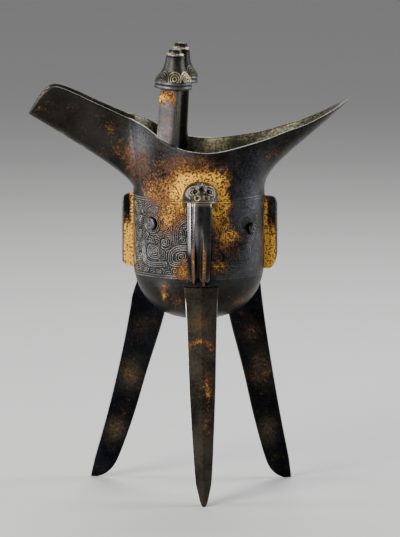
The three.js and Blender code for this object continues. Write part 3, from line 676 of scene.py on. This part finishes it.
def ornament_relief():
    """Way round, level, height and ridge on one quarter's grid: fine lines side by side along
    each stroke, round each scroll and the eye socket, and in the ground of square spirals."""
    s = np.arange(PANEL_START, QUARTER_ARC + PANEL_STEP, PANEL_STEP)
    z = np.arange(PANEL_LOW_Z, PANEL_HIGH_Z + PANEL_STEP, PANEL_STEP)
    s, level = np.meshgrid(s, z, indexing="ij")
    up = level - PANEL_LOW_Z
    wavy_s = s + 0.3 * np.sin(up * 0.31 + 1.2) + 0.15 * np.sin(s * 0.5)
    wavy_up = up + 0.25 * np.sin(s * 0.27) + 0.15 * np.sin(up * 0.61 + s * 0.2)
    ground = ease(-0.25, 0.6, square_spirals(wavy_s, wavy_up, SPIRAL_TILE, LINE_PITCH))
    lines = ground * 0.62
    for centre_s, centre_up, half_s, half_up in SCROLLS:
        u, v = wavy_s - centre_s, wavy_up - centre_up
        mean = np.sqrt(half_s * half_up)
        ring = (np.abs(u / half_s) ** 3 + np.abs(v / half_up) ** 3) ** (1 / 3) * mean
        turn = np.arctan2(v * half_s, u * half_up) / TAU
        wound = ease(-0.35, 0.45, np.cos(TAU * (ring / (LINE_PITCH * 1.05) - turn)))
        within = fade(mean - 0.1, mean + 0.1, ring)
        moat = fade(mean + 0.25, mean + 0.45, ring)
        lines = lines * (1 - moat) + wound * within
    width = STROKE_HALF_LINES * LINE_PITCH
    for course in STROKES:
        away = course_distance(wavy_s, wavy_up, course)
        wound = ease(-0.45, 0.35, np.cos(TAU * away / LINE_PITCH))
        within = fade(width - 0.12, width + 0.08, away)
        moat = fade(width + 0.1, width + 0.35, away)
        lines = lines * (1 - moat) + wound * within
    centre_s, centre_up, half_s, half_up, slope = SOCKET
    u, v = s - centre_s, up - centre_up - slope * (s - centre_s)
    rim = (half_s + half_up) / 2
    ring = np.sqrt((u / half_s) ** 2 + (v / half_up) ** 2) * rim
    wound = ease(-0.45, 0.35, np.cos(TAU * (ring - rim) / LINE_PITCH))
    within = ease(rim - 1.6, rim - 1.4, ring) * fade(rim + 0.4, rim + 0.6, ring)
    moat = fade(rim + 0.6, rim + 0.9, ring)
    lines = lines * (1 - moat) + wound * within
    top = up.max()
    for line_up in (0.9, 1.9, top - 0.9, top - 1.9):
        band = np.abs(up - line_up)
        strength = 0.55 if line_up < 9 else 0.9
        lines = lines * ease(0.5, 0.8, band) + strength * fade(0.18, 0.4, band)
    return s, level, RELIEF * lines, np.clip(lines, 0, 1)


def wall_skin(s, level, end, side):
    """Points on the bowl's outside at a way round from one end's flange and a level, and the
    outward direction there, from the ellipse and the rounded bottom's own formulas."""
    fine = np.linspace(0, np.pi / 2, 400)
    steps = np.hypot(np.diff(HALF_LENGTH * np.cos(fine)), np.diff(HALF_WIDTH * np.sin(fine)))
    angle = np.interp(s, np.hstack([0, np.cumsum(steps)]), fine)
    drop = np.clip((STRAIGHT_Z - level) / (STRAIGHT_Z - FLOOR_Z), 0, 1)
    fall = np.arccos(drop ** (BOTTOM_SQUARENESS / 2))
    out = np.sin(fall) ** (2 / BOTTOM_SQUARENESS)
    x = end * out * HALF_LENGTH * np.cos(angle)
    y = side * out * HALF_WIDTH * np.sin(angle)
    outward = unit(np.stack([
        end * np.cos(angle) / HALF_LENGTH, side * np.sin(angle) / HALF_WIDTH, 0 * s], -1))
    return np.stack([x, y, level], -1), outward


def near_eyes(points, end):
    """Painted shadow round the eye boss of one end: 1 at its foot, fading over a millimetre."""
    degrees, radius, eye_z = EYES[end]
    angle = np.radians(degrees)
    away = np.hypot(points[..., 0] - end * HALF_LENGTH * np.cos(angle), points[..., 2] - eye_z)
    return bell(np.maximum(away - radius * 0.95, 0), 0, 1.1)


def make_ornament(name, end, side, rubbed):
    """One quarter of the band: the relief stands on the wall, and its border dips under it."""
    s, level, height, ridge = relief
    points, outward = wall_skin(s, level, end, side)
    crust = crust_cover(points)
    patchy = 0.75 + 0.25 * np.sin(points[..., 0] * 0.31 + 1) * np.sin(points[..., 2] * 0.23)
    keep = (1 - rubbed) * patchy * (1 - 0.2 * crust)
    edge = np.minimum.reduce([s - s.min(), s.max() - s, level - level.min(), level.max() - level])
    border = ease(0.0, 0.5, edge)
    lift = (0.05 + height * keep) * border - SINK * (1 - border)
    face = points + outward * lift[..., None]
    back = (points - outward * (SINK + 0.5))[:, [-1, 0]]
    rings = np.hstack([face, back])
    ends = np.zeros((len(s), 2))
    dust = 0.22 * (1 - ridge) * keep
    pale = ridge * keep * fade(9, 16, s) * ease(5, 9, s)
    # Raised lines lighter, partly wear and partly painted highlight; painted shade in the recesses and
    # round the eyes; the bowl's painted slate-grey sheen over it.
    fields = {"crust": crust * (0.85 + 0.25 * ridge) + 0.6 * dust, "wear": ridge * keep * 0.9,
              "hollow": np.maximum((1 - ridge) * keep * 1.15, near_eyes(points, end)),
              "motif": 0.45 * pale, "bloom": patches(points, PAINTED_SHEEN)}
    fields = {key: np.hstack([field, ends]) for key, field in fields.items()}
    make_piece(name, rings, vessel_bronze, "bronze_olive", **fields)


relief = ornament_relief()
make_ornament("ornament_front_spout_side", -1, -1, 0.05)
make_ornament("ornament_front_tail_side", 1, -1, 0.84)
make_ornament("ornament_back_spout_side", -1, 1, 0.2)
make_ornament("ornament_back_tail_side", 1, 1, 0.3)


# Flanges

FACE_RINGS = 12


def plate_rings(outline, heart, thickness, edge):
    """Closed plate: rings shrink from the outline to its heart line on both faces, and the edge
    is a quarter round on each side."""
    half = thickness / 2
    turn = np.linspace(0, np.pi / 2, 5)
    inset = np.hstack([np.linspace(0.96, 0.12, FACE_RINGS), edge * (1 - np.sin(turn)) / 10])
    across = np.hstack([np.full(FACE_RINGS, half), half - edge * (1 - np.cos(turn))])
    share = inset[:, None, None]
    one = outline * (1 - share) + heart * share
    one = np.concatenate([one, np.broadcast_to(across[:, None, None], one.shape[:2] + (1,))], -1)
    other = one[::-1].copy()
    other[..., 2] *= -1
    return np.vstack([one, other])


def make_flange(name, node, distance, reach, low_z, low_corner, turn, crusted):
    """Plate on edge, from inside the wall to its reach, with a quarter oval at each outer corner."""
    high_z = low_z + FLANGE_HEIGHT
    arc = np.linspace(0, np.pi / 2, 12)
    up_edge, along_root = np.linspace(0, 1, 42)[1:-1], np.linspace(0, 1, 30)
    low_arc = [reach - FLANGE_CORNER * (1 - np.sin(arc)), low_z + low_corner * (1 - np.cos(arc))]
    high_arc = [reach - FLANGE_CORNER * (1 - np.cos(arc)), high_z - FLANGE_CORNER * (1 - np.sin(arc))]
    edge_z = low_z + low_corner + (FLANGE_HEIGHT - low_corner - FLANGE_CORNER) * up_edge
    outline = np.hstack([
        low_arc, [reach + 0 * up_edge, edge_z], high_arc,
        [-FLANGE_ROOT + 0 * along_root, high_z - FLANGE_HEIGHT * along_root]]).T
    heart_r = (reach - FLANGE_ROOT) / 2
    heart = np.column_stack([
        np.full(len(outline), heart_r),
        np.clip(outline[:, 1], low_z + FLANGE_CORNER, high_z - FLANGE_CORNER)])
    rings = plate_rings(outline, heart, FLANGE_THICKNESS, FLANGE_EDGE_ROUND)
    out, up, across = np.moveaxis(rings, -1, 0)
    radius = distance + out
    wave = 0.12 * np.sin(up * 0.35 + 2 * distance)
    x = radius * np.cos(turn) - (across + wave) * np.sin(turn)
    y = radius * np.sin(turn) + (across + wave) * np.cos(turn)
    points = np.stack([x, y, up], -1)
    edge_wear = ease(reach - 1.3, reach - 0.2, out)
    ragged = 1.2 * np.sin(up * 0.9 + 3 * out) + 0.8 * np.sin(up * 2.3)
    low_share = fade(low_z + 14, low_z + 26, up + ragged)
    root_share = fade(0.8, 2.4, out + 0.2 * ragged)
    spread = crusted * low_share * (1 - edge_wear)
    crust = np.clip(np.maximum(spread, root_share * 0.9), 0, 1.2)
    # The outer edge is lighter, partly wear and partly painted highlight; the low part gets a little
    # painted shade.
    make_piece(
        name, points, vessel_bronze, "bronze_olive", [node],
        crust=crust, wear=edge_wear * 0.8, hollow=0.22 * low_share)


make_flange("flange_under_spout", "flange_spout_side", HALF_LENGTH, 5.2, 100.6, 3.2, np.pi, 1.2)
make_flange("flange_under_tail", "flange_tail_side", HALF_LENGTH, 5.9, 99.5, 9.0, 0.0, 1.0)
make_flange("flange_at_back", "flange_back", HALF_WIDTH, 5.2, 99.6, 3.2, np.pi / 2, 1.1)


# Eyes

EYE_AROUND = 48


def turned(profile, count):
    """Profile of (radius, height) pairs carried round the upright axis."""
    profile = np.asarray(profile, float)
    angle = np.linspace(0, TAU, count, endpoint=False)
    r, h = profile[:, :1], profile[:, 1:2]
    return np.stack([r * np.cos(angle), r * np.sin(angle), h + 0 * angle], -1)


def make_eye(name, node, end, side, degrees, radius, z):
    """Round boss: upright sides, a rounded shoulder, a ring groove and a raised pupil."""
    angle = np.radians(degrees)
    at = np.array([end * HALF_LENGTH * np.cos(angle), side * HALF_WIDTH * np.sin(angle), z])
    out = unit(np.array([at[0] / HALF_LENGTH**2, at[1] / HALF_WIDTH**2, 0]))
    across = np.array([-out[1], out[0], 0])
    profile = smooth([
        (radius * 1.0, -1.0), (radius * 1.02, 0.3), (radius * 1.0, 1.0), (radius * 0.88, 1.6),
        (radius * 0.66, 1.95), (radius * 0.5, 1.85), (radius * 0.36, 1.9), (radius * 0.16, 2.08),
        (0.02, 2.1)], 5)
    rings = turned(profile, EYE_AROUND)
    points = at + rings[..., :1] * across + rings[..., 1:2] * (0, 0, 1) + rings[..., 2:] * out
    lifted = ease(0.7, 1.7, rings[..., 2])
    # The boss's raised face is lighter, partly wear and partly painted highlight, more on the spout
    # side's eye; its sides and foot get painted shade.
    make_piece(
        name, points, vessel_bronze, "bronze_ochre", [node],
        wear=lifted * (0.34 if end < 0 else 0.14), hollow=1.0 - 0.9 * lifted)


for place, side in (("front", -1), ("back", 1)):
    make_eye(f"eye_{place}_left", f"eye_spout_side_{place}", -1, side, *EYES[-1])
    make_eye(f"eye_{place}_right", f"eye_tail_side_{place}", 1, side, *EYES[1])


# Posts and caps

def post_seat(side):
    """Rim point under a post, the directions along the rim and into the mouth, and the rise of
    the post's top over that point."""
    rows = smooth(rim_rows()[0], 100)
    index = round(POST_RIM_SHARE * (len(rows) - 1))
    here, before = rows[index], rows[index - 1]
    along = unit(np.array([before[0] - here[0], here[1] - before[1]]))
    inward = np.array([-along[1], along[0]])
    return here, along, inward, POST_HEIGHT - (BACK_POST_DROP if side > 0 else 0)


def make_post(name, node, side):
    """Six-sided prism with softened edges: its section narrows to the root and to the top, and
    moves towards the tail by the lean as it rises."""
    seat, along, inward, top = post_seat(side)
    half, back = POST_FACE_WIDTH / 2, POST_BACK_WIDTH / 2
    outline = np.array([[
        (-half, 0), (half, 0), (half + POST_BEVEL, POST_DEPTH / 2), (back, POST_DEPTH),
        (-back, POST_DEPTH), (-half - POST_BEVEL, POST_DEPTH / 2)]])
    outline = rounded_polygon(outline, 0.55, 4, 5)[0] - (0, POST_DEPTH / 2)
    levels = smooth([
        (-POST_ROOT, 0.8, 0.9, 2.4), (-0.67 * POST_ROOT, 1, 1, 2.2), (-0.4, 1, 1, 0.1),
        (0.3 * top, 0.975, 1, 0), (0.65 * top, 0.947, 1, 0), (top, POST_TAPER, 1, 0)], 8)
    rise, scale, narrowing, recess = levels.T[:, :, None]
    across = outline[:, 0] * scale * narrowing
    deep = POST_INSET + POST_DEPTH / 2 + outline[:, 1] * scale
    deep = deep + recess * (0.5 - outline[:, 1] / POST_DEPTH)
    lean = np.tan(POST_LEAN) * np.maximum(rise, 0)
    shift = BACK_POST_SHIFT if side > 0 else 0
    x = seat[0] + along[0] * across + inward[0] * deep + lean + shift
    y = side * (seat[1] - along[1] * across - inward[1] * deep)
    middle_x = seat[0] + inward[0] * (POST_INSET + POST_DEPTH / 2) + lean + shift
    z = seat[2] + rise - np.tan(POST_LEAN) * (x - middle_x) * ease(0, top, rise)
    points = np.stack([x, y, z], -1)
    # Edges lighter, partly wear and partly painted highlight.
    near_edge = np.abs(outline[:, 0]) > half - 0.45
    wear = 0.25 * near_edge * np.ones_like(rise)
    crust = 0.75 * bell(z - seat[2], 20, 4.0) * (x < middle_x + 2)
    # Painted shade on the faces turned towards the tail.
    make_piece(
        name, points, post_bronze, "bronze_dark", [node],
        wear=wear, crust=crust, hollow=1.1 * ease(0.4, 1.2, x - middle_x))


# Shares of the cap's radius and height.
CAP_PROFILE = [
    (0.02, 0.002), (0.9, 0.002), (0.985, 0.01), (1, 0.03), (1, 0.065), (0.975, 0.085), (0.955, 0.1),
    (0.97, 0.113), (1, 0.13), (1, 0.155), (0.985, 0.178), (0.965, 0.2), (0.92, 0.238), (0.81, 0.308),
    (0.69, 0.383), (0.616, 0.458), (0.54, 0.583), (0.5, 0.7), (0.49, 0.77), (0.485, 0.79),
    (0.445, 0.8), (0.435, 0.81), (0.465, 0.822), (0.475, 0.84), (0.455, 0.862), (0.39, 0.876),
    (0.36, 0.888), (0.365, 0.91), (0.35, 0.945), (0.28, 0.975), (0.16, 0.994), (0.01, 1.0),
]
CAP_AROUND = 216
PETALS = 7
PETAL_MIDDLE = 4.9
PETAL_HALF_HEIGHT = 2.95
PETAL_HALF_WIDTH = 2.9


def make_cap(name, node, side):
    """Turned bell with two rings, a collar and a button; oval petals of nested arches stand in
    relief round its foot, from a cosine of the distance to each petal's middle."""
    profile = smooth(CAP_PROFILE, 4)
    rings = turned(profile * (CAP_RADIUS, CAP_HEIGHT), CAP_AROUND)
    angle = np.arctan2(rings[..., 1], rings[..., 0])
    sector = TAU / PETALS
    off = (angle + np.pi / 2 - 0.05 + sector / 2) % sector - sector / 2
    height = rings[..., 2]
    radius = np.hypot(rings[..., 0], rings[..., 1])
    across = off * np.maximum(radius, 0.1) / PETAL_HALF_WIDTH
    above = (height - PETAL_MIDDLE) / PETAL_HALF_HEIGHT
    oval = np.sqrt(across**2 + (above * np.where(above > 0, 1, 0.9)) ** 2)
    on_bell = ease(3.3, 3.6, height) * fade(8.6, 9, height)
    inside_petal = fade(0.97, 1.05, oval) * on_bell
    arches = 0.5 + 0.5 * np.cos(TAU * (oval - 0.95) * 3.0)
    relief_height = 0.28 * inside_petal * arches
    grow = 1 + relief_height / np.maximum(radius, 1.0)
    rings[..., :2] *= grow[..., None]
    button = ease(15.6, 16.2, height)
    scallop = 0.5 + 0.5 * np.cos(angle * 5 + 1)
    rings[..., :2] *= (1 - 0.1 * button * scallop)[..., None]
    # The gilt is fainter on the left; on the back cap it is cut to 0.15 as painted shade.
    gilt = (0.12 + 0.75 * ease(-0.45, -0.15, np.cos(angle))) * (0.15 if side > 0 else 1)
    motif = inside_petal * ease(0.35, 0.75, arches) * gilt
    motif = motif + 0.6 * bell(height, 15.3, 0.45)
    ring_wear = bell(height, 1.0, 0.5) + bell(height, 2.6, 0.4)
    collar_wear = bell(height, 15.4, 0.5)
    # Painted shade in the petals' grooves and the button's scallops, and over the whole back cap.
    hollow = inside_petal * (1 - arches) * 0.8 + button * scallop * 0.9
    hollow = np.maximum(hollow, 0.95 if side > 0 else 0)
    seat, _, inward, top = post_seat(side)
    deep = POST_INSET + POST_DEPTH / 2
    x = seat[0] + inward[0] * deep + np.tan(POST_LEAN) * top
    x += BACK_CAP_SHIFT if side > 0 else FRONT_CAP_SHIFT
    y = side * (seat[1] - inward[1] * deep)
    z = seat[2] + top
    cos, sin = np.cos(POST_LEAN), np.sin(POST_LEAN)
    local_x, local_y, local_z = rings[..., 0], rings[..., 1], rings[..., 2] + CAP_GAP
    points = np.stack([x + cos * local_x + sin * local_z, y + local_y,
                       z - sin * local_x + cos * local_z], -1)
    make_piece(
        name, points, cap_bronze, "bronze_grey", [node],
        motif=motif, wear=0.45 * (ring_wear + collar_wear), hollow=hollow)


for place, side in (("front", -1), ("back", 1)):
    make_post(f"square_post_{place}", f"post_{place}", side)
    make_cap(f"bell_cap_{place}", f"post_cap_{place}", side)


# Handle

# Shares of the strap's reach and of half its height.
STRAP_COURSE = [
    (0.74, 1), (0.86, 0.82), (0.96, 0.52), (1, 0.15), (0.98, -0.25), (0.86, -0.6), (0.58, -0.86),
    (0.25, -0.98), (-0.08, -1),
]
STRAP_AROUND = 160


def make_strap():
    """Band carried along the handle's course: a squared oval section whose outside has two
    ridges and a valley that deepens towards the lower end."""
    middle_z, half_span = (STRAP_TOP_Z + STRAP_BOTTOM_Z) / 2, (STRAP_TOP_Z - STRAP_BOTTOM_Z) / 2
    path = smooth(STRAP_COURSE, 16)
    centre = np.column_stack([
        np.full(len(path), HANDLE_X / 2), -HALF_WIDTH - path[:, 0] * STRAP_REACH,
        middle_z + path[:, 1] * half_span])
    run = unit(np.gradient(centre, axis=0))
    outward = np.column_stack([np.zeros(len(run)), run[:, 2], -run[:, 1]])
    turn = np.linspace(0, TAU, STRAP_AROUND, endpoint=False)
    s, t = signed_power(np.cos(turn), 0.45), signed_power(np.sin(turn), 0.5)
    low = np.linspace(0, 1, len(path))[:, None]
    outside = t > 0
    lower = ease(0.4, 0.52, low)
    narrowing = 1 - (1 - STRAP_LOW_SHARE) * ease(STRAP_TAPER_START, STRAP_TAPER_END, low)
    valley = (0.1 + 2.0 * ease(0.22, 0.5, low)) * bell(s, -0.06, 0.28, 4)
    slot = bell(s, -0.56, 0.09) * (1 - lower)
    rounding = 1.25 * np.abs(s) ** 2.2
    thick = STRAP_THICKNESS / 2 * t * np.ones_like(low) - (valley + 0.3 * slot + rounding) * outside
    across = STRAP_HALF_WIDTH * s * narrowing
    points = centre[:, None] + across[..., None] * (1, 0, 0) + thick[..., None] * outward[:, None]
    ridge = outside * bell(np.abs(s + 0.05), 0.44, 0.14)
    # Painted shade in the middle groove, on the lower sides and in the slot.
    groove = bell(s, -0.06, 0.32, 4) * ease(0.25, 0.48, low)
    side = ease(0.56, 0.66, np.abs(s + 0.05)) * lower
    hollow = outside * np.clip(groove * 1.1 + side + 0.8 * slot, 0, 1)
    # Painted highlight stripes on the upper part of the outside.
    stripes = bell(s, -0.8, 0.11) + 0.5 * bell(s, -0.31, 0.11)
    gleam = outside * 0.55 * stripes * (1 - lower)
    brown = ridge * ease(0.4, 0.48, low)
    under_head = 0.5 * outside * ease(132.2, 133.2, centre[:, 2:])
    make_piece(
        "handle_band", points, strap_bronze, "bronze_dark", ["handle_strap"],
        wear=ridge * (0.12 + 0 * low), hollow=hollow, crust=brown * (0.5 + 0.14 * (s > 0)),
        bloom=brown, gleam=gleam, motif=under_head)


make_strap()


# Shares of the mask's height, half width and reach.
MASK_LEVELS = [
    (0, 0.98, 0.95), (0.12, 1, 0.98), (0.3, 1, 1), (0.5, 0.96, 0.98), (0.7, 0.86, 0.9),
    (0.88, 0.66, 0.7), (1, 0.36, 0.36),
]
# Raised strokes of the mask, half of it: x, height over its foot, half width, rise.
MASK_STROKES = [
    ([(5.0, 1.9), (6.1, 4.2), (5.0, 6.9), (2.4, 7.5), (1.2, 6.6)], 0.5, 0.7),
    ([(3.4, 3.7), (4.6, 3.5), (5.2, 4.6), (4.6, 5.8), (3.4, 6.0)], 0.4, 0.75),
    ([(2.9, 2.9), (2.9, 1.5), (1.7, 0.9), (0.8, 1.7), (1.1, 2.8), (2.0, 3.0)], 0.36, 0.8),
    ([(0, 8.2), (0, 9.8)], 0.6, 0.45),
    ([(1.1, 4.3), (1.7, 5.6), (1.0, 7.6)], 0.3, 0.5),
    ([(7.2, 1.0), (4.6, 0.2), (0, 0.1)], 0.4, 0.4),
]
MASK_PITS = [(3.1, 4.9, 0.85, 1.0), (0, 6.0, 0.9, 0.7), (1.9, 2.0, 0.3, 0.3), (6.6, 1.9, 0.45, 0.5)]
FACE_SHIFT = 0.9
MASK_AROUND = 150


def make_mask():
    """Animal's head: levels of half ovals, with strokes and pits pushed out along the outward
    direction by their distance on the front view."""
    levels = smooth(MASK_LEVELS, 18)
    rise, wide, deep = levels.T[:, :, None]
    turn = np.linspace(0, np.pi, MASK_AROUND)
    x = -MASK_HALF_WIDTH * wide * np.cos(turn)
    out = MASK_REACH * deep * np.sin(turn) ** 0.65
    up = rise * MASK_HEIGHT + 0 * turn
    lift, hollow = np.zeros_like(x), np.zeros_like(x)
    face_x = np.abs(x - FACE_SHIFT * fade(4, 7, np.abs(x)))
    for course, half_width, height in MASK_STROKES:
        away = course_distance(face_x, up, course)
        lift = np.maximum(lift, height * fade(half_width * 0.35, half_width * 1.25, away))
    # Pits get painted shade.
    for pit_x, pit_up, radius, depth in MASK_PITS:
        away = np.hypot(face_x - pit_x, up - pit_up)
        pit = fade(radius * 0.5, radius * 1.3, away)
        lift = lift - depth * pit
        hollow = np.maximum(hollow, pit)
    facing = ease(0.25, 0.6, np.sin(turn))
    lift = lift * facing
    forward = 0.55 * ease(0.4, 1, rise) + 0 * x
    push = unit(np.stack([x / MASK_HALF_WIDTH, -out / MASK_REACH, forward], -1))
    tilted = MASK_LOW_Z + up + MASK_TILT * out / MASK_REACH
    front = np.stack([HANDLE_X + x, -HALF_WIDTH - out, tilted], -1) + push * lift[..., None]
    root = front[:, [-1, 0]].copy()
    root[..., 1] = -HALF_WIDTH + WALL / 2
    root[..., 0] = HANDLE_X + 0.9 * (root[..., 0] - HANDLE_X)
    rings = np.hstack([front, root])
    ends = np.zeros((len(levels), 2))
    # Raised strokes lighter, partly wear and partly painted highlight; the ground between them on the
    # front gets painted shade.
    worn_and_lit = np.hstack([np.clip(lift * 1.4, 0, 1) * 0.8, ends])
    dark = np.hstack([np.maximum(hollow, 0.45 * facing * fade(0, 0.2, lift)), ends])
    curl = bell(np.hypot(x + 1.0, up - 2.0), 0, 1.5, 4) * ease(0.3, 0.6, lift)
    dim_curl = bell(np.hypot(x - 2.8, up - 2.0), 0, 1.6, 4)
    worn_and_lit[:, :-2] *= 1 - 0.6 * dim_curl
    crust = 0.8 * patches(rings, [(HANDLE_X, -30, 142, 9, 5.5, 6, 0.9)])
    make_piece(
        "handle_head", rings, head_bronze, "bronze_ochre", ["handle_mask"],
        wear=worn_and_lit, hollow=dark, crust=crust, motif=np.hstack([0.9 * curl, ends]))


make_mask()


# Legs

# Shares of the leg's height, width and depth, from the foot up.
LEG_SECTIONS = [
    (0, 0.14, 0.22), (0.02, 0.27, 0.44), (0.058, 0.39, 0.6), (0.125, 0.55, 0.67),
    (0.31, 0.7, 0.725), (0.54, 0.84, 0.765), (0.767, 0.92, 0.9), (0.9, 0.98, 0.97), (0.95, 1.02, 0.99),
    (1, 1.07, 1),
]


def make_leg(name, node, material, degrees, foot_radius, proud, sweep, edge_gleam):
    """Blade with a triangular section and soft edges: the section grows from foot to top, its
    flat face stands on a radius that widens to the foot by fall * (1 - sweep + sweep * fall), and
    near the top it leans back into the bowl."""
    turn = np.radians(degrees)
    radial = np.array([np.cos(turn), np.sin(turn), 0])
    tangent = np.array([-np.sin(turn), np.cos(turn), 0])
    top = 1 / np.hypot(radial[0] / HALF_LENGTH, radial[1] / HALF_WIDTH) + proud
    levels = smooth(LEG_SECTIONS, 12)
    rise, wide, deep = levels.T
    fall = 1 - rise
    radius = top + (foot_radius - top) * fall * (1 - sweep + sweep * fall)
    half, depth = LEG_TOP_WIDTH * wide / 2, LEG_TOP_DEPTH * deep
    ends = np.array([
        (1, 0, 0), (0, 0.06, 0), (-1, 0, 0), (-0.57, 0, -0.45), (-0.14, 0, -1), (0.14, 0, -1),
        (0.57, 0, -0.45)])
    corners = np.stack([
        half[:, None] * ends[:, 0], half[:, None] * ends[:, 1] + depth[:, None] * ends[:, 2]], -1)
    outline = rounded_polygon(corners, LEG_EDGE_ROUND, LEG_ARC_STEPS, LEG_SIDE_STEPS)
    soften = ease(LEG_LEAN_START, 1.0, rise) * (proud + LEG_TOP_SINK)
    r = outline[..., 1] + (radius - soften)[:, None]
    s = outline[..., 0]
    points = (r[..., None] * radial + s[..., None] * tangent
              + (rise * LEG_TOP_Z)[:, None, None] * (0, 0, 1))
    # Painted highlights along the two outer edges, one strength for each edge, up to near the top.
    gleam = np.zeros((len(ends), LEG_ARC_STEPS + LEG_SIDE_STEPS))
    gleam[0, 1:LEG_ARC_STEPS - 1], gleam[2, 1:LEG_ARC_STEPS - 1] = edge_gleam
    gleam = gleam.ravel() * fade(0.92, 0.96, rise)[:, None]
    make_piece(
        name, points, material, "bronze_olive", [node],
        gleam=gleam, crust=patches(points, LEG_CRUST), bloom=patches(points, LEG_BLOOM))


make_leg("blade_leg_front", "leg_front", lit_front_leg_bronze, -87.7, 51.5, 1.3, 0.4, (0.22, 0.95))
make_leg("blade_leg_spout_side", "leg_spout_side", shaded_side_leg_bronze, 152.6, 55.1, 0.5, 0.4,
         (0.5, 0.1))
make_leg("blade_leg_tail_side", "leg_tail_side", shaded_side_leg_bronze, 28.4, 47.2, -1.2, 0.33,
         (0.05, 0.25))


# Floor, camera and lights

def make_floor():
    """Flat pale square under the feet, wide enough to fill the view."""
    reach = 6.0
    corners = [(-reach, -reach, 0), (reach, -reach, 0), (reach, reach, 0), (-reach, reach, 0)]
    mesh = bpy.data.meshes.new("floor")
    mesh.from_pydata(corners, [], [(0, 1, 2, 3)])
    floor = bpy.data.objects.new("floor", mesh)
    scene.collection.objects.link(floor)
    w = Wiring("pale_floor")
    shader = w.add("BsdfPrincipled", {
        "Base Color": (0.66, 0.655, 0.64, 1.0), "Roughness": 0.8})
    w.add("OutputMaterial", {"Surface": shader.outputs[0]})
    mesh.materials.append(w.material)


make_floor()


def aimed(thing, at, target):
    thing.location = Vector(at)
    thing.rotation_euler = (Vector(target) - Vector(at)).to_track_quat("-Z", "Y").to_euler()
    scene.collection.objects.link(thing)


def cup_point(x, y, z):
    return tuple(np.array([x, y, z]) * MM + MIDDLE)


def add_light(name, at, size, power, tint):
    """Upright soft box: place in the cup's millimetres, width and height in metres, watts."""
    data = bpy.data.lights.new(name, "AREA")
    data.shape = "RECTANGLE"
    data.size, data.size_y = size
    data.energy = power
    data.color = tint
    aimed(bpy.data.objects.new(name, data), cup_point(*at), cup_point(0, 0, 110))


add_light("soft_key_left", (-470, -600, 380), (0.34, 0.66), 8.0, (1.0, 0.97, 0.92))
add_light("soft_side_left", (-640, 60, 330), (0.26, 0.6), 2.6, (0.93, 0.96, 1.0))
add_light("soft_side_right", (640, 150, 330), (0.34, 0.6), 4.2, (0.9, 0.95, 1.0))
add_light("soft_top_back", (60, 520, 720), (0.5, 0.5), 5.0, (1.0, 1.0, 1.0))

world = bpy.data.worlds.new("pale_room")
world.use_nodes = True
background = world.node_tree.nodes["Background"].inputs
background["Color"].default_value = (0.9, 0.91, 0.93, 1.0)
background["Strength"].default_value = 0.3
scene.world = world

# Three metres off with a long lens, so that the view has almost no perspective.
camera_data = bpy.data.cameras.new("camera")
camera_data.sensor_fit = "HORIZONTAL"
camera_data.sensor_width = 36.0
camera_data.lens = 614.4
camera_data.clip_end = 30.0
camera = bpy.data.objects.new("camera", camera_data)
aimed(camera, cup_point(0, -3030, 566), cup_point(0.45, 0, 99.2))
scene.camera = camera
